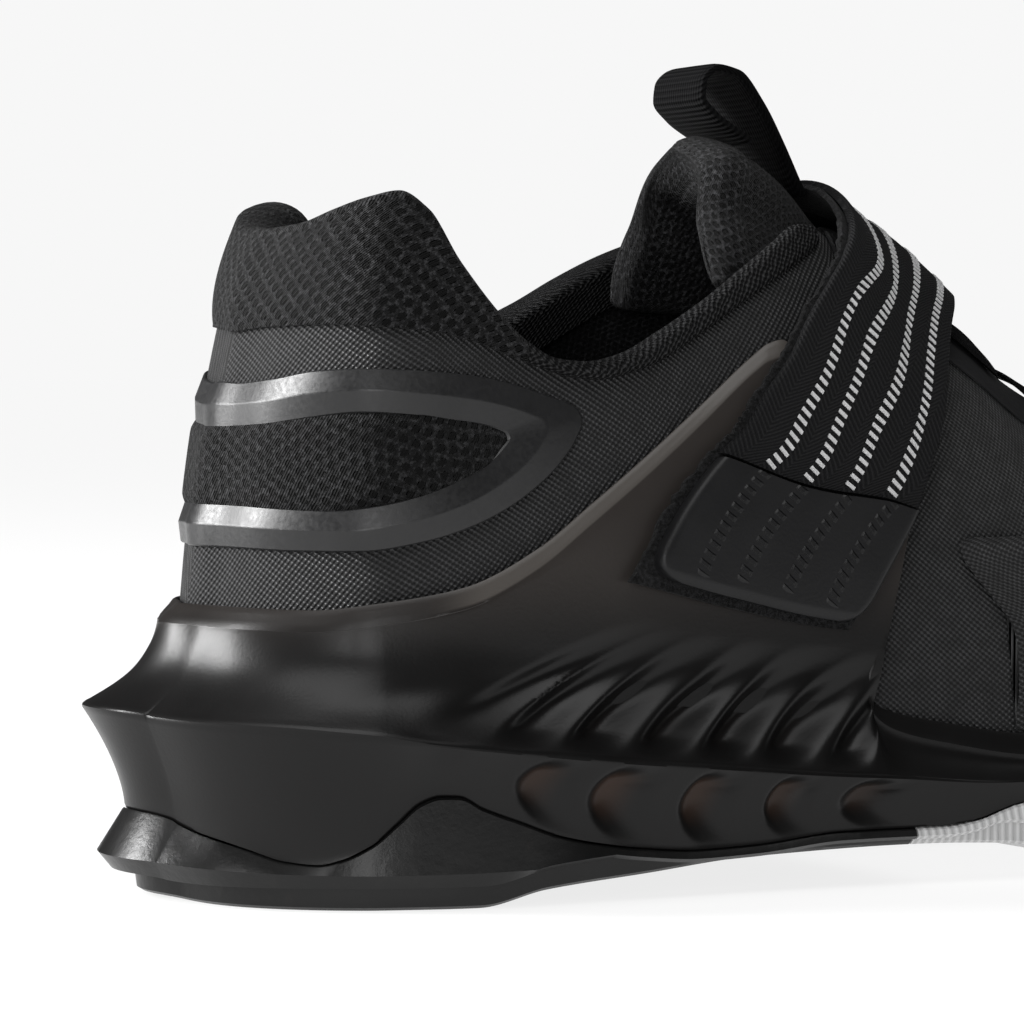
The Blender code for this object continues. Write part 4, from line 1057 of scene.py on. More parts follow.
class Paint:
    """A material under construction, with short calls for its maths nodes."""

    def __init__(self, name, colour, rough, **constants):
        self.material = bpy.data.materials.new(name)
        self.material.use_nodes = True
        self.tree = self.material.node_tree
        self.shader = self.tree.nodes["Principled BSDF"]
        self.shader.inputs["Base Color"].default_value = (*colour, 1.0)
        self.shader.inputs["Roughness"].default_value = rough
        for key, value in constants.items():
            self.shader.inputs[key.replace("_", " ")].default_value = value

    def put(self, socket, value):
        """Link a socket or set its value."""
        if isinstance(value, bpy.types.NodeSocket):
            self.tree.links.new(value, socket)
        else:
            socket.default_value = value

    def math(self, operation, *values):
        """Maths node of some inputs."""
        node = self.tree.nodes.new("ShaderNodeMath")
        node.operation = operation
        for socket, value in zip(node.inputs, values):
            self.put(socket, value)
        return node.outputs[0]

    def lengths(self):
        """The two lengths on the surface in metres."""
        node = self.tree.nodes.new("ShaderNodeUVMap")
        node.uv_map = "lengths"
        split = self.tree.nodes.new("ShaderNodeSeparateXYZ")
        self.tree.links.new(node.outputs[0], split.inputs[0])
        return split.outputs[0], split.outputs[1]

    def place(self):
        """Position in metres."""
        node = self.tree.nodes.new("ShaderNodeTexCoord")
        split = self.tree.nodes.new("ShaderNodeSeparateXYZ")
        self.tree.links.new(node.outputs["Object"], split.inputs[0])
        return split.outputs

    def tint(self):
        """The shade stored on the mesh."""
        node = self.tree.nodes.new("ShaderNodeAttribute")
        node.attribute_name = "tint"
        return node.outputs["Fac"]

    def noise(self, size, detail=2.0, rough=0.5):
        """Noise with features of a size in metres."""
        spot = self.tree.nodes.new("ShaderNodeTexCoord")
        node = self.tree.nodes.new("ShaderNodeTexNoise")
        node.inputs["Scale"].default_value = 1.0 / size
        node.inputs["Detail"].default_value = detail
        node.inputs["Roughness"].default_value = rough
        self.tree.links.new(spot.outputs["Object"], node.inputs["Vector"])
        return node.outputs["Fac"]

    def ramp(self, value, low, high, start=0.0, end=1.0):
        """Soft change from start to end while value goes from low to high."""
        node = self.tree.nodes.new("ShaderNodeMapRange")
        node.interpolation_type = "SMOOTHSTEP"
        for socket, number in zip(node.inputs, (value, low, high, start, end)):
            self.put(socket, number)
        return node.outputs[0]

    def wave(self, length, pitch):
        """Cosine along a length, from -1 to 1."""
        return self.math("COSINE", self.math("MULTIPLY", length, 2 * math.pi / pitch))

    def turned(self, u, v, degrees):
        """Length along a direction on the surface."""
        a = math.radians(degrees)
        first = self.math("MULTIPLY", u, math.cos(a))
        second = self.math("MULTIPLY", v, math.sin(a))
        return self.math("ADD", first, second)

    def mix(self, part, first, second):
        """Colour between two colours."""
        node = self.tree.nodes.new("ShaderNodeMix")
        node.data_type = "RGBA"
        self.put(node.inputs["Factor"], part)
        for socket, value in ((node.inputs[6], first), (node.inputs[7], second)):
            self.put(socket, (*value, 1.0) if isinstance(value, tuple) else value)
        return node.outputs[2]

    def bump(self, height, depth, strength=1.0):
        """Bump of a depth in metres, on top of earlier ones."""
        node = self.tree.nodes.new("ShaderNodeBump")
        node.inputs["Distance"].default_value = depth
        node.inputs["Strength"].default_value = strength
        self.tree.links.new(height, node.inputs["Height"])
        earlier = self.shader.inputs["Normal"].links
        if earlier:
            self.tree.links.new(earlier[0].from_socket, node.inputs["Normal"])
        self.tree.links.new(node.outputs[0], self.shader.inputs["Normal"])

    def colour(self, value):
        """Set the base colour."""
        self.put(self.shader.inputs["Base Color"], value)

    def shade(self, value, low, high, first, second):
        """Base colour from a first to a second while a value goes from low to high."""
        self.colour(self.mix(self.ramp(value, low, high), first, second))

    def rough(self, value):
        """Set the roughness."""
        self.put(self.shader.inputs["Roughness"], value)


def hexagons(paint, u, v, pitch):
    """Sum of three waves with peaks on a hexagonal net."""
    k = pitch * math.sqrt(3) / 2
    first = paint.wave(u, k)
    second = paint.wave(paint.turned(u, v, 60.0), k)
    third = paint.wave(paint.turned(u, v, -60.0), k)
    return paint.math("ADD", paint.math("ADD", first, second), third)


def make_mesh_cloth(name, pitch, dark, light):
    """Spacer mesh with round holes in a hexagonal net, its yarn sprinkled with painted glints: random
    bright flecks in its colour.
    """
    paint = Paint(name, light, 0.85, Specular_IOR_Level=0.12, Sheen_Weight=0.05)
    u, v = paint.lengths()
    net = hexagons(paint, u, v, pitch)
    hole = paint.ramp(net, -0.2, 1.2)
    yarn = paint.wave(paint.turned(u, v, 35.0), pitch / 5)
    # painted glints: random flecks up to 5.5 times brighter than the yarn colour, standing in for
    # sparkle of light on the yarn
    grain = paint.noise(0.0006, 3.0, 0.6)
    shade = paint.ramp(grain, 0.45, 0.70)
    yarn_with_painted_glints = paint.mix(shade, tuple(c * 0.8 for c in light), tuple(c * 5.5 for c in light))
    paint.colour(paint.mix(hole, yarn_with_painted_glints, dark))
    paint.bump(paint.math("SUBTRACT", 1.0, hole), 0.0006)
    paint.bump(yarn, 0.00006)
    return paint.material


def make_woven():
    """Fine woven quarter with slanted lines of small dots, their brightness painted sheen of the glossy
    yarn on the weave.
    """
    paint = Paint("woven_quarter", (0.02, 0.02, 0.022), 0.55, Specular_IOR_Level=0.45)
    u, v = paint.lengths()
    first = paint.wave(paint.turned(u, v, 62.0), 0.00078)
    second = paint.wave(paint.turned(u, v, -38.0), 0.00070)
    net = paint.math("ADD", paint.math("MULTIPLY", first, 1.1), paint.math("MULTIPLY", second, 0.8))
    lit = paint.ramp(net, -1.1, 1.5)
    cloud = paint.noise(0.003, 4.0, 0.6)
    lit = paint.math("MULTIPLY", lit, paint.ramp(cloud, 0.3, 0.7, 0.5, 1.0))
    # painted sheen: the weave's dots run from near black to bright in the base colour, standing in for
    # highlights on the yarn
    paint.colour(paint.mix(lit, (0.0015, 0.0015, 0.0016), (0.042, 0.042, 0.044)))
    paint.rough(paint.ramp(lit, 0.0, 1.0, 0.85, 0.38))
    paint.bump(net, 0.00014)
    return paint.material


def make_knit():
    """Tubular binding in a fine twilled knit."""
    paint = Paint("knit_binding", (0.01, 0.01, 0.011), 0.85, Specular_IOR_Level=0.12)
    u, v = paint.lengths()
    stray = paint.math("MULTIPLY", paint.noise(0.0012, 3.0), 0.0016)
    line = paint.math("ADD", paint.turned(u, v, 40.0), stray)
    rib = paint.wave(line, 0.0010)
    cross = paint.wave(paint.turned(u, v, -52.0), 0.0007)
    loops = paint.math("ADD", rib, paint.math("MULTIPLY", cross, 0.7))
    paint.shade(loops, -0.8, 1.5, (0.003, 0.003, 0.0033), (0.045, 0.045, 0.046))
    paint.bump(loops, 0.00032)
    return paint.material


def make_webbing():
    """Strap webbing in herringbone."""
    paint = Paint("strap_webbing", (0.012, 0.012, 0.013), 0.75, Specular_IOR_Level=0.15)
    u, v = paint.lengths()
    fold = paint.math("PINGPONG", v, 0.0035)
    line = paint.math("ADD", u, paint.math("MULTIPLY", fold, 1.0))
    rib = paint.wave(line, 0.0009)
    yarn = paint.wave(v, 0.0006)
    lit = paint.ramp(rib, -0.7, 0.9)
    paint.colour(paint.mix(lit, (0.0045, 0.0045, 0.005), (0.0095, 0.0095, 0.010)))
    paint.rough(paint.ramp(lit, 0.0, 1.0, 0.85, 0.7))
    paint.bump(paint.math("ADD", rib, paint.math("MULTIPLY", yarn, 0.35)), 0.00008)
    paint.bump(paint.noise(0.006), 0.0004, 0.4)
    return paint.material


def make_ribbed(name, pitch, along):
    """Ribbed webbing or lace with ribs across or along its length."""
    paint = Paint(name, (0.011, 0.011, 0.012), 0.8, Specular_IOR_Level=0.06)
    u, v = paint.lengths()
    rib = paint.wave(v if along else u, pitch)
    yarn = paint.wave(u if along else v, pitch * 0.7)
    paint.shade(rib, -0.7, 0.9, (0.0025, 0.0025, 0.0028), (0.006, 0.006, 0.0063))
    paint.bump(paint.math("ADD", rib, paint.math("MULTIPLY", yarn, 0.4)), 0.00018)
    return paint.material


def make_film(name, colour, rough, gloss=0.25, grain=0.0007, depth=0.00004):
    """Matte moulded film with a fine grain."""
    paint = Paint(name, colour, rough, Specular_IOR_Level=gloss)
    fine = paint.noise(grain, 3.0)
    wide = paint.noise(0.012, 2.0)
    paint.shade(wide, 0.3, 0.7, tuple(c * 0.85 for c in colour), tuple(c * 1.2 for c in colour))
    paint.rough(paint.ramp(fine, 0.2, 0.8, rough - 0.06, rough + 0.08))
    paint.bump(fine, depth)
    return paint.material


def make_fuzz():
    """Loop pile of the fastener's backing."""
    paint = Paint("loop_pile", (0.006, 0.006, 0.0065), 0.95, Specular_IOR_Level=0.1, Sheen_Weight=0.05)
    fine = paint.noise(0.0006, 4.0, 0.7)
    paint.shade(fine, 0.35, 0.7, (0.002, 0.002, 0.002), (0.018, 0.018, 0.019))
    paint.bump(fine, 0.0006)
    return paint.material


def make_midsole():
    """Satin moulded black with brown tints in its recesses and a smoky wing."""
    paint = Paint("midsole_moulded", (0.008, 0.008, 0.0085), 0.36, Specular_IOR_Level=0.24)
    z = paint.place()[2]
    tint = paint.tint()
    black = (0.0048, 0.0046, 0.0046)
    smoke = (0.031, 0.0270, 0.0248)
    brown = (0.034, 0.017, 0.010)
    high = paint.ramp(z, 0.036, 0.052)
    colour = paint.mix(high, black, smoke)
    colour = paint.mix(paint.ramp(tint, 0.15, 1.1), colour, brown)
    colour = paint.mix(paint.ramp(tint, -0.1, -0.9), colour, (0.075, 0.068, 0.062))
    paint.colour(colour)
    fine = paint.noise(0.0006, 3.0)
    cloud = paint.noise(0.02, 3.0)
    paint.rough(paint.ramp(cloud, 0.3, 0.7, 0.30, 0.40))
    paint.bump(fine, 0.00002)
    return paint.material


def make_outsole():
    """Glossy black rubber with faint scuffs."""
    paint = Paint("outsole_rubber", (0.008, 0.008, 0.008), 0.34, Specular_IOR_Level=0.32)
    scuff = paint.noise(0.003, 5.0, 0.65)
    cloud = paint.noise(0.025, 3.0)
    paint.rough(paint.ramp(cloud, 0.3, 0.7, 0.28, 0.42))
    paint.shade(scuff, 0.55, 0.8, (0.005, 0.005, 0.005), (0.010, 0.0095, 0.009))
    paint.bump(scuff, 0.00010)
    return paint.material


def make_pale_rubber():
    """Light grey forefoot rubber with fine upright ribs, darker in the grooves between the ribs as
    painted shade.
    """
    paint = Paint("forefoot_rubber", (0.5, 0.5, 0.5), 0.55, Specular_IOR_Level=0.4)
    u = paint.lengths()[0]
    rib = paint.wave(u, 0.0013)
    speck = paint.noise(0.0008, 3.0)
    # painted shade: the colour follows the rib bump and is darker in the grooves
    paint.shade(rib, -0.9, 0.5, (0.42, 0.42, 0.42), (0.58, 0.58, 0.58))
    paint.bump(rib, 0.00012)
    paint.bump(speck, 0.00004)
    return paint.material


def make_stitch():
    """White bar stitches of twisted thread."""
    paint = Paint("white_thread", (0.85, 0.85, 0.85), 0.7)
    u, v = paint.lengths()
    twist = paint.wave(paint.turned(u, v, 40.0), 0.00035)
    paint.shade(twist, -0.8, 0.8, (0.62, 0.62, 0.63), (0.98, 0.98, 0.98))
    paint.bump(twist, 0.00005)
    return paint.material


def make_tab():
    """Semi-gloss moulded rubber with embossed lines of dots."""
    paint = Paint("tab_rubber", (0.010, 0.010, 0.0105), 0.42, Specular_IOR_Level=0.24)
    u, v = paint.lengths()
    fine = paint.noise(0.0005, 3.0)
    paint.rough(paint.ramp(paint.noise(0.01), 0.3, 0.7, 0.36, 0.48))
    marks = None
    for share in STITCH_LINES:
        near = paint.math("SUBTRACT", v, share * 0.0365)
        band = paint.ramp(paint.math("ABSOLUTE", near), 0.0006, 0.0012, 1.0, 0.0)
        slant = paint.math("ADD", u, paint.math("MULTIPLY", near, 0.5))
        dash = paint.ramp(paint.wave(slant, 0.0017), -0.2, 0.6)
        mark = paint.math("MULTIPLY", band, dash)
        marks = mark if marks is None else paint.math("ADD", marks, mark)
    inside = paint.math("MULTIPLY", paint.ramp(u, 0.003, 0.004), marks)
    paint.bump(inside, 0.00035)
    paint.bump(fine, 0.00003)
    return paint.material


# lines of stitches across the strap, and a stitch's half width, half length and pitch in metres
STITCH_LINES = (0.22, 0.41, 0.625, 0.84)
STITCH_HALF = 0.0003
STITCH_REACH = 0.001
STITCH_PITCH = 0.0015
BOX_FACES = ((0, 2, 4, 6), (1, 7, 5, 3), (0, 1, 3, 2), (2, 3, 5, 4), (4, 5, 7, 6), (6, 7, 1, 0))
MESH = make_mesh_cloth("collar_mesh", 0.0021, (0.0010, 0.0010, 0.0010), (0.0068, 0.0068, 0.0071))
WINDOW = make_mesh_cloth("window_mesh", 0.0021, (0.0009, 0.0009, 0.0009), (0.0048, 0.0048, 0.0050))
SOFT_MESH = make_mesh_cloth("tongue_mesh", 0.0015, (0.0012, 0.0012, 0.0012), (0.0045, 0.0045, 0.0048))
LINING = make_mesh_cloth("lining_mesh", 0.0016, (0.0015, 0.0015, 0.0015), (0.008, 0.008, 0.0085))
WOVEN = make_woven()
KNIT = make_knit()
WEBBING_CLOTH = make_webbing()
LOOP_CLOTH = make_ribbed("pull_webbing", 0.0010, False)
LACE_CLOTH = make_ribbed("lace_weave", 0.0007, False)
RING_FILM = make_film("ring_film", (0.013, 0.013, 0.0135), 0.36, 0.42, depth=0.00002)
STAY_FILM = make_film("eyestay_film", (0.008, 0.008, 0.0085), 0.6)
SOCK = make_film("insole_cloth", (0.020, 0.020, 0.022), 0.9, 0.0004, 0.0001)
FUZZ = make_fuzz()
MOULDED = make_midsole()
RUBBER = make_outsole()
PALE = make_pale_rubber()
THREAD = make_stitch()
TAB_RUBBER = make_tab()


# sole


def dense_shares(step_rear, step_front):
    """X shares of columns along a side, close at the heel and flank and wider in front."""
    rear = x_share_of(np.linspace(0.0, float(step_at(0.117)), 90))
    flank = np.arange(0.1178, 0.402, step_rear)
    front = np.arange(0.402, 0.83, step_front)
    toe = x_share_of(np.linspace(float(step_at(0.835)), 1.0, 40))
    return np.concatenate([rear, flank, front, toe])


# strength of the brown tint in a flute 2.4 mm deep and in a pit 2.2 mm deep
FLUTE_TINT = 0.2
PIT_TINT = 0.8


def build_sole():
    """Midsole, the two outsole pieces and the insole."""
    shares = dense_shares(0.0012, 0.009)
    sides, steps = round_trip(shares)
    grid = midsole_sections(sides, steps)
    share = x_share_of(steps)
    rear = smooth((0.15 - share) / 0.06)[:, None, None]
    low = WALL_FIRST - 1
    high = FLARE_FIRST + len(FLARE_PARTS) - 4
    soft = grid[:, low:high].copy()
    for _ in range(ROUNDING):
        soft[:, 1:-1] = 0.25 * soft[:, :-2] + 0.5 * soft[:, 1:-1] + 0.25 * soft[:, 2:]
    grid[:, low:high] += rear * (soft - grid[:, low:high])
    tint = np.zeros(grid.shape[:2])
    light = smooth((share - 0.075) / 0.05) * smooth((0.315 - share) / 0.03)
    tint[:, CUP_COLUMNS:low] = -light[:, None]
    below = FLARE_FIRST + len(FLARE_PARTS)
    for column in range(FLARE_FIRST, below):
        rise = (grid[:, column, 2] - curve(RIDGE, share)[:, 1] * HEIGHT) / FLUTE_RISE
        tint[:, column] = FLUTE_TINT * flute_cut(share, rise) / 0.0024
    for k, part in enumerate(BELOW_PARTS):
        tint[:, below + k] = PIT_TINT * pit_cut(share, part) / 0.0022
    done(half_piece("midsole_shell", grid, True, [MOULDED], tint=tint, sharp=38.0), "midsole")

    heel = np.concatenate([step_at(shares[shares < 0.3535]), [float(step_at(0.3555))]])
    heel[0] = 0.0
    order_sides, order = part_trip(heel)
    grid = outsole_sections(order_sides, order)
    done(half_piece("heel_outsole", grid, False, [RUBBER], sharp=22.0), "outsole_heel")

    front = np.concatenate([[float(step_at(0.3565))], step_at(shares[shares > 0.359])])
    front[-1] = 1.0
    order_sides, order = toe_trip(front)
    grid = outsole_sections(order_sides, order)
    piece = half_piece("forefoot_outsole", grid, False, [PALE], sharp=22.0)
    done(piece, "outsole_forefoot")

    wide = dense_shares(0.006, 0.012)
    sides, steps = round_trip(wide)
    done(half_piece("sock_liner", insole_sections(sides, steps), True, [SOCK]), "insole")


# upper


def build_quarter():
    """The hollow upper, woven outside and lined inside."""
    shares = np.concatenate([dense_shares(0.003, 0.006), [CORNER, 0.63, 0.645, THROAT_END]])
    shares = np.sort(shares)
    shares = shares[np.concatenate([[True], np.diff(shares) > 0.0006])]
    sides, steps = round_trip(shares)
    outer, inner, is_open = upper_grid(sides, steps, list(np.linspace(0.0, 1.0, 46)))
    grid = np.concatenate([outer, inner[:, ::-1]], axis=1)
    rows, cols = grid.shape[:2]
    level_count = outer.shape[1]
    all_faces, all_corners = grid_faces(grid, True, True)
    faces = []
    corners = []
    which = []
    for index, (face, spots) in enumerate(zip(all_faces, all_corners)):
        i, j = divmod(index, cols)
        k = (i + 1) % rows
        if j == level_count - 1 and not (is_open[i] or is_open[k]):
            continue
        faces.append(face)
        corners.append(spots)
        which.append(0 if j < level_count - 1 or j == cols - 1 else 1)
    piece = make_piece("quarter", grid.reshape(-1, 3), faces, corners, [WOVEN, LINING], which)
    done(piece, "upper")


MESH_END = 0.150
# columns with mesh at the heel: outside, over the rim and down the inside
MESH_COLUMNS = 52


def build_collar():
    """Padded collar: mesh panel round the heel and knit binding along the sides."""
    shares = dense_shares(0.003, 0.006)
    rim = shares[shares < 0.332]
    steps = np.concatenate([step_at(rim), [float(step_at(0.334))]])
    steps[0] = 0.0
    sides, order = part_trip(steps)
    share = x_share_of(order)
    length = skin_length(sides, order)
    edge = edge_girth(sides, order)
    low = girth_at(sides, order, curve(PANEL_LINE, share) * HEIGHT)
    thick = padding(share, 1.0)
    near = padding(share, 0.95)
    lift = GAP + PANEL
    zero = np.zeros_like(share)
    columns = [skin(sides, order, low, GAP + zero), skin(sides, order, low, GAP + 0.0004 + zero)]
    top = edge - 0.0025 / length
    swell = np.clip((0.16 - share) / 0.05, 0.0, 1.0)
    for part in np.linspace(0.03, 1.0, 26):
        puff = lift + 0.0006 * swell * math.sin(math.pi * part) - 0.0007 * (1 - part) ** 6
        columns.append(skin(sides, order, low + (top - low) * part, puff))
    outer = skin(sides, order, edge - 0.0025 / length, lift + zero)
    inner = skin(sides, order, edge - 0.0026 / length, -thick - lift)
    crown = skin(sides, order, edge, -0.5 * thick)
    for angle in np.linspace(0.0, math.pi, 15)[1:-1]:
        middle = (outer + inner) / 2
        spread = (outer - inner) / 2
        rise = crown - middle
        columns.append(middle + spread * math.cos(angle) + rise * math.sin(angle) ** 0.8)
    for part in np.linspace(0.0, 1.0, 8):
        drop = 0.0026 + (0.0090 - 0.0026) * part
        deep = thick + (near - thick) * part
        columns.append(skin(sides, order, edge - drop / length, -deep - lift))
    for drop, off in (
        (0.0090, -near - GAP),
        (0.0030, -thick - GAP),
        (0.0010, -0.75 * thick),
        (0.0010, -0.25 * thick),
        (0.0028, GAP + zero),
    ):
        columns.append(skin(sides, order, edge - drop / length, off))
    grid = np.stack(columns, axis=1)
    rows, cols = grid.shape[:2]
    which = []
    for i in range(rows - 1):
        rear = share[i] < MESH_END
        for j in range(cols):
            which.append(0 if rear and j < MESH_COLUMNS else 1)
    piece = loft_piece("collar_padding", grid, False, [MESH, KNIT], which)
    done(piece, "collar_panel")


RING_LIFT = 0.0011
# rows of the ring's mesh between two rows of its table
RING_ROWS = 14


def build_ring():
    """Film ring with a crest, and the mesh seen through its window."""
    rows = table_rows(RING, RING_ROWS * (len(RING) - 1) + 1)
    parts = [0.0, 0.03, 0.1, 0.2, 0.3, 0.4, 0.47, 0.5, 0.53, 0.6, 0.7, 0.8, 0.9, 0.97, 1.0]
    profile = []
    for part in parts:
        edge = 0.0002 if part in (0.0, 1.0) else 0.0004
        profile.append((part, 0.0002 + edge + (RING_LIFT - edge) * (1.0 - abs(part - 0.5) * 2)))
    profile.extend((part, 0.0001) for part in (1.0, 0.5, 0.0))
    sections = []
    for side, order in ((-1.0, range(len(rows))), (1.0, range(len(rows) - 2, 0, -1))):
        xs = []
        zs = []
        offs = []
        for i in order:
            x_out, z_out, x_in, z_in = rows[i]
            for part, off in profile:
                xs.append(x_out + (x_in - x_out) * part)
                zs.append((z_out + (z_in - z_out) * part) * HEIGHT)
                offs.append(off)
        xs = np.array(xs)
        at = np.where(xs < 0.0051, 0.0, step_at(xs))
        spots = wall(np.full(len(xs), side), at, np.array(zs), np.array(offs))
        sections.append(spots.reshape(len(order), -1, 3))
    grid = np.concatenate(sections)
    piece = loft_piece("ring_overlay", grid, True, [RING_FILM], sharp=25.0)
    done(piece, "heel_ring")

    shares = x_share_of(np.linspace(0.0, float(step_at(0.140)), 80))
    steps = step_at(shares)
    steps[0] = 0.0
    sides, order = part_trip(steps)
    spots = []
    share = x_share_of(order)
    marks = [0.005, 0.05, 0.09, 0.14]
    low = np.interp(share, marks, [0.575, 0.570, 0.595, 0.665])
    high = np.interp(share, marks, [0.720, 0.740, 0.742, 0.705])
    for z in np.linspace(0.0, 1.0, 24):
        ends = smooth(z * 5) * smooth((1 - z) * 5)
        puff = 0.0001 + 0.0011 * ends * smooth((0.140 - share) / 0.03)
        spots.append(wall(sides, order, (low + (high - low) * z) * HEIGHT, puff))
    grid = np.stack(spots, axis=1)
    faces, corners = grid_faces(grid, False, False)
    window = make_piece("ring_window", grid.reshape(-1, 3), faces, corners, [WINDOW])


def build_tongue():
    """Padded tongue, a gutter over the instep with a rolled top edge and a seam beside the roll."""
    table = table_rows(TONGUE, 400)
    full = table[np.argmin(np.abs(table[:, 0] - 0.313)), 1]
    roll = 0.0045
    head = []
    for angle in np.linspace(0.03, 1.0, 16) * math.pi / 2:
        x = 0.305 + roll / LENGTH * (1.0 - math.cos(angle))
        head.append(np.array([x, full * math.sin(angle), 0.0, 0.0, 0.0]))
    body = []
    for x in np.linspace(head[-1][0] + 0.002, 0.66, 80):
        body.append(np.array([x, 0.0, 0.0, 0.0, 0.0]))
    rows = []
    for row in head + body:
        facts = row_at(row[0], table[:, 0], table)
        rows.append((row[0], row[1] if row[1] > 0 else facts[1], facts[2], facts[3], facts[4]))
    shares = -np.cos(np.linspace(0.0, math.pi, 81))
    reach = np.abs(shares)
    side = np.where(shares < 0, -1.0, 1.0)
    outer = []
    inner = []
    for x, thick, half, lift, lean in rows:
        plain = np.full(len(shares), float(step_at(x)))
        length = skin_length(side, plain)
        girth = 1.0 - reach * half / length
        at = plain
        if lean > 0.0001:
            high = skin(side, plain, girth)[:, 2]
            at = step_at(x - lean * smooth(reach / 0.9))
            found = girth_at(side, at, high)
            near = smooth((reach - 0.04) / 0.12)
            girth = girth * (1 - near) + found * near
        far = smooth((0.42 - x) / 0.08)
        under = -(WALL + GAP + LEG_UNDER_THROAT + (LEG_UNDER_COLLAR - LEG_UNDER_THROAT) * far)
        off = under + (lift - under) * smooth((0.62 - reach) / 0.35)
        depth = max(full, thick) if x < 0.33 else thick
        middle = off - depth / 2
        rounded = np.sqrt(np.clip(1.0 - (np.clip(reach - 0.86, 0, 1) / 0.14) ** 2, 0.0001, 1.0))
        groove = 0.0006 * math.exp(-(((x - 0.3215) * LENGTH / 0.0006) ** 2))
        outer.append(skin(side, at, girth, middle + 0.5 * thick * rounded - groove))
        inner.append(skin(side, at, girth, middle - 0.5 * thick * rounded))
    grid = slab(np.array(outer), np.array(inner))
    count = len(shares)
    which = []
    for i in range(len(rows) - 1):
        for j in range(2 * count):
            which.append(1 if rows[i][0] > 0.3215 and j < count - 1 else 0)
    piece = loft_piece("tongue_padding", grid, False, [LINING, SOFT_MESH], which, sharp=50.0)
    done(piece, "tongue")


def slab(outer, inner):
    """Sections of a sheet: each row's outer points followed by its inner points backwards."""
    return np.concatenate([outer, inner[:, ::-1]], axis=1)


def build_loop():
    """Ribbed pull loop on the tongue."""
    path = table_rows(LOOP, 80)
    path = np.column_stack([SEAM_X + path[:, 0] * LENGTH, path[:, 1] * HEIGHT])
    ahead = np.gradient(path, axis=0)
    ahead /= np.linalg.norm(ahead, axis=1, keepdims=True)
    normal = np.column_stack([-ahead[:, 1], ahead[:, 0]])
    sections = []
    for spot, turn in zip(path, normal):
        section = []
        for angle in np.linspace(0, 2 * math.pi, 25)[:-1]:
            y = np.sign(math.cos(angle)) * abs(math.cos(angle)) ** 0.35 * LOOP_HALF
            off = np.sign(math.sin(angle)) * abs(math.sin(angle)) ** 0.6 * LOOP_THICK / 2
            x, z = spot + turn * off
            section.append((x, y, z))
        sections.append(section)
    done(loft_piece("pull_tab", np.array(sections), False, [LOOP_CLOTH]), "pull_loop")


def build_stays():
    """Films along the throat."""
    stations = np.arange(0.346, 0.614, 0.0025)
    drops = np.array([0.0008, 0.0011, 0.002, 0.004, 0.006, 0.0085, 0.011, 0.0126, 0.0129])
    lifts = np.array([0.0006, 0.0008, 0.0009, 0.0009, 0.0009, 0.0009, 0.0009, 0.0008, 0.0006])
    film = list(zip(drops, lifts)) + [(drop, GAP) for drop in drops[::-1]]
    steps = step_at(stations)
    for name, node, side in (
        ("stay_outer", "eyestay_lateral", -1.0),
        ("stay_inner", "eyestay_medial", 1.0),
    ):
        sides = np.full(len(steps), side)
        length = skin_length(sides, steps)
        edge = edge_girth(sides, steps)
        flat_on = np.ones(len(steps))
        columns = [skin(sides, steps, edge - drop / length, off * flat_on) for drop, off in film]
        grid = np.stack(columns, axis=1)
        done(loft_piece(name, grid, False, [STAY_FILM]), node)


def build_laces():
    """Flat lace in its zigzag."""
    grid = lace_sections()
    count = len(grid)
    fine = table_rows(grid.reshape(count, -1), 4 * (count - 1) + 1).reshape(-1, 6, 3)
    piece = loft_piece("lace_bars", fine, False, [LACE_CLOTH], sharp=50.0)
    done(piece, "laces")


# strap


def strap_surface(rows, parts, off):
    """Points of a strap layer for rows and shares across it."""
    out = []
    for x_left, g_left, x_right, g_right in rows:
        x = x_left + (x_right - x_left) * parts
        girth = g_left + (g_right - g_left) * parts
        side = np.where(girth <= 1.0, -1.0, 1.0)
        share = np.where(girth <= 1.0, girth, 2.0 - girth)
        drop = FRONT_DROP * parts * np.clip((girth - 0.55) / 0.25, 0.0, 1.0)
        out.append(skin(side, step_at(x), share, off - drop))
    return np.array(out)


def edge_profile(parts, width, radius):
    """Drop of a rounded edge at shares across a width."""
    near = np.minimum(parts, 1 - parts) * width
    inside = np.clip(1.0 - near / radius, 0.0, 1.0)
    return radius * (1.0 - np.sqrt(np.clip(1.0 - inside**2, 0.0, 1.0)))


def layer_piece(name, rows, low, high, radius, material, spread=0.0, corner=0.0, rough=0.0):
    """Strap layer with rounded edges, spread past its sides, with round corners or a rough outline."""
    near = [0.0, 0.003, 0.008, 0.015, 0.025]
    parts = np.concatenate([near, np.linspace(0.04, 0.96, 60), 1 - np.array(near[::-1])])
    drop = np.minimum(edge_profile(parts, WEB_WIDTH, radius), (high - low) * 0.5)
    middle = strap_surface(rows, np.array([0.5]), high)[:, 0]
    length = run_along(middle)
    rng = np.random.default_rng(7)
    top = []
    bottom = []
    for row, run in zip(rows, length):
        left = -spread / PILE_WIDTH
        right = 1.0
        if run < corner:
            cut = corner - math.sqrt(max(corner**2 - (corner - run) ** 2, 0.0))
            left += cut / PILE_WIDTH
            right -= 0.6 * cut / PILE_WIDTH
        shares = left + (right - left) * parts
        if rough > 0.0:
            shares[:5] += rng.normal(0.0, rough / PILE_WIDTH, 1)
            shares[-5:] += rng.normal(0.0, rough / PILE_WIDTH, 1)
        line = np.array([row])
        end = radius * 0.7 * max(1.0 - run / (radius * 1.5), 0.0) ** 2 if corner else 0.0
        top.append(strap_surface(line, shares, high - drop - end)[0])
        bottom.append(strap_surface(line, shares, low + 0 * parts)[0])
    return loft_piece(name, slab(np.array(top), np.array(bottom)), False, [material])


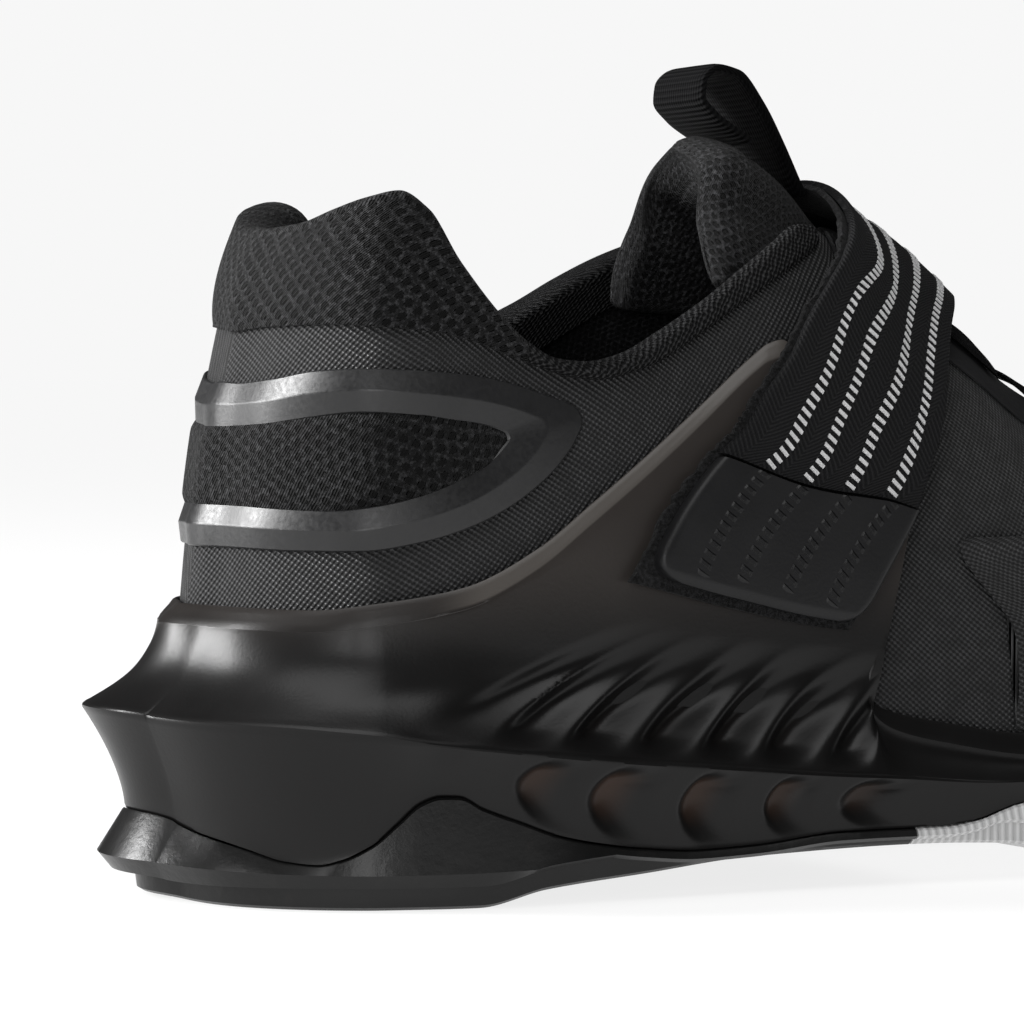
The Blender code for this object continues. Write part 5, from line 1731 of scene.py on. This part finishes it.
def build_strap():
    """Backing, webbing, moulded tab and the four lines of bar stitches."""
    dense = table_rows(STRAP, 151)
    dense = np.concatenate([dense[:1] - np.array([0.004, 0.012, 0.004, 0.012]), dense])
    piece = layer_piece("pile_layer", dense, *PILE, 0.0004, FUZZ, spread=0.0011, rough=0.00025)
    done(piece, "strap_backing")
    web = table_rows(STRAP, 140, TAB_ROWS - 1)
    done(layer_piece("webbing_layer", web, *WEBBING, 0.0008, WEBBING_CLOTH), "strap")
    tab = table_rows(STRAP, 30, 0, TAB_ROWS - 1)
    fade = np.linspace(0, 1, len(tab))[:, None] ** 4
    tab = tab - fade * np.array([0.0008, 0.006, 0.0008, 0.006])
    fine_tab = np.array([row_at(k, range(len(tab)), tab) for k in np.linspace(0, len(tab) - 1, 90)])
    done(layer_piece("tab_layer", fine_tab, *TAB, 0.0011, TAB_RUBBER, corner=0.0045), "strap_tab")

    fine = table_rows(STRAP, 1200, TAB_ROWS - 1)
    points = []
    faces = []
    corners = []
    for line in STITCH_LINES:
        middle = strap_surface(fine, np.array([line]), WEBBING[1])[:, 0]
        length = run_along(middle)
        for start in np.arange(0.0012, length[-1] - 0.002, STITCH_PITCH):
            spots = []
            for a, b in ((-1, 1), (1, 1), (1, -1), (-1, -1)):
                along = a * STITCH_HALF
                across = b * STITCH_REACH
                at = start + along - across * 0.5
                row = row_at(at, length, fine)[None]
                part = np.array([line + across / WEB_WIDTH])
                for off in (-0.0001, 0.0002):
                    spots.append(strap_surface(row, part, WEBBING[1] + off)[0, 0])
            base = len(points)
            points.extend(spots)
            for quad in BOX_FACES:
                faces.append(tuple(base + k for k in quad))
                corners.append([(0, 0), (0, 0.001), (0.002, 0.001), (0.002, 0)])
    stitches = make_piece("strap_stitches", points, faces, corners, [THREAD])


# rear end of the forefoot overlay on the outer side: height share of the overlay, x share
VAMP_END = [
    (0.00, 0.418),
    (0.20, 0.420),
    (0.40, 0.4205),
    (0.53, 0.4185),
    (0.65, 0.411),
    (0.81, 0.398),
    (0.93, 0.392),
    (0.98, 0.393),
    (1.00, 0.397),
]


def build_vamp():
    """Raised overlay round the forefoot in the quarter's cloth, its rear end bent."""
    shares = dense_shares(0.003, 0.006)
    stations = np.concatenate([np.arange(0.400, 0.45, 0.0015), shares[shares > 0.4505]])
    steps = step_at(stations)
    steps[-1] = 1.0
    sides, order = toe_trip(steps)
    share = x_share_of(order)
    columns = []
    ladder = np.linspace(0, 1, 30)
    for off, parts in ((VAMP_GAP + VAMP_THICK, ladder), (VAMP_GAP, ladder[::-4])):
        for part in parts:
            start = curve(VAMP_END, part)
            moved = start + (share - 0.400) * (0.480 - start) / 0.080
            here = np.where(share < 0.480, moved, share)
            edge = 0.0004 if part in (0.0, 1.0) and off > VAMP_GAP else 0.0
            rise = smooth((here - start) / 0.006) * 0.0004 - 0.0004
            place_at = np.where(share < 0.480, step_at(here), order)
            low = side_table(sides, OUTER_TOP, INNER_TOP, here)[:, 1] * HEIGHT + 0.0006
            tops = curve(VAMP, np.maximum(here, 0.412)) * HEIGHT
            high = np.maximum(np.where(sides < 0, tops[:, 0], tops[:, 1]), low + 0.006)
            lift = off - edge + (rise if off > VAMP_GAP else 0.0)
            columns.append(wall(sides, place_at, low + (high - low) * part, lift + 0 * share))
    grid = np.stack(columns, axis=1)
    done(loft_piece("vamp_overlay", grid, False, [WOVEN]), "vamp_panel")


build_sole()
build_quarter()
build_collar()
build_ring()
build_tongue()
build_loop()
build_stays()
build_laces()
build_strap()
build_vamp()


# floor, light and camera


FLOOR_REACH = 30.0
FLOOR_COLOUR = (0.21, 0.21, 0.21)
FLOOR_GLOW = 0.81
# the surroundings as the camera sees them and as they light the shoe
SEEN_WORLD = (0.93, 0.93, 0.93, 1.0)
DIM_WORLD = (0.035, 0.035, 0.035, 1.0)
# wide sun: power, and degrees across, round from -Y and up
SUN_POWER = 1.75
SUN_WIDTH = 50.0
SUN_TURN = -35.0
SUN_HEIGHT = 74.0
# area lights: name, place, aim, width, length, power
AREAS = (
    ("left_strip", (-0.55, -0.75, 0.22), (-0.02, 0.0, 0.04), 0.32, 0.6, 3.0),
    ("rear_side", (-1.02, 0.56, 0.50), (0.0, 0.0, 0.06), 0.30, 0.80, 36.0),
)
# view: place in metres, lens in millimetres, degrees that it looks down and turns from +Y to +X
VIEW_PLACE = (-0.2596, -0.5543, 0.0793)
VIEW_LENS = 139.2
VIEW_DOWN = 2.05
VIEW_TURN = 27.44


def build_studio():
    """Pale floor, soft light and the camera at the photograph's angle."""
    mesh = bpy.data.meshes.new("floor")
    corners = [(a * FLOOR_REACH, b * FLOOR_REACH, 0) for a, b in ((-1, -1), (1, -1), (1, 1), (-1, 1))]
    mesh.from_pydata(corners, [], [(0, 1, 2, 3)])
    floor = new_object("floor", mesh)
    paint = Paint("pale_floor", FLOOR_COLOUR, 0.9, Specular_IOR_Level=0.0)
    paint.shader.inputs["Emission Color"].default_value = (1.0, 1.0, 1.0, 1.0)
    paint.shader.inputs["Emission Strength"].default_value = FLOOR_GLOW
    mesh.materials.append(paint.material)

    world = bpy.data.worlds.new("soft_white")
    world.use_nodes = True
    nodes = world.node_tree.nodes
    links = world.node_tree.links
    shown = nodes["Background"]
    shown.inputs[0].default_value = SEEN_WORLD
    dim = nodes.new("ShaderNodeBackground")
    dim.inputs[0].default_value = DIM_WORLD
    path = nodes.new("ShaderNodeLightPath")
    mix = nodes.new("ShaderNodeMixShader")
    links.new(path.outputs["Is Camera Ray"], mix.inputs[0])
    links.new(dim.outputs[0], mix.inputs[1])
    links.new(shown.outputs[0], mix.inputs[2])
    links.new(mix.outputs[0], nodes["World Output"].inputs[0])
    bpy.context.scene.world = world

    light = bpy.data.lights.new("overhead", "SUN")
    light.energy = SUN_POWER
    light.angle = math.radians(SUN_WIDTH)
    turn = math.radians(SUN_TURN)
    high = math.radians(SUN_HEIGHT)
    back = (math.sin(turn) * math.cos(high), -math.cos(turn) * math.cos(high), math.sin(high))
    obj = new_object("overhead", light)
    obj.rotation_euler = mathutils.Vector(back).to_track_quat("Z", "Y").to_euler()

    for name, spot, target, width, length, power in AREAS:
        light = bpy.data.lights.new(name, "AREA")
        light.shape = "RECTANGLE"
        light.size = width
        light.size_y = length
        light.energy = power
        aim = mathutils.Vector(target) - mathutils.Vector(spot)
        obj = new_object(name, light)
        obj.location = spot
        obj.rotation_euler = aim.to_track_quat("-Z", "Y").to_euler()

    camera = bpy.data.cameras.new("camera")
    camera.sensor_width = 36.0
    camera.lens = VIEW_LENS
    camera.clip_start = 0.01
    camera.clip_end = 100.0
    obj = new_object("camera", camera)
    obj.location = VIEW_PLACE
    obj.rotation_euler = (math.radians(90.0 - VIEW_DOWN), 0.0, math.radians(-VIEW_TURN))
    bpy.context.scene.camera = obj
    bpy.context.scene.view_settings.view_transform = "Standard"


build_studio()
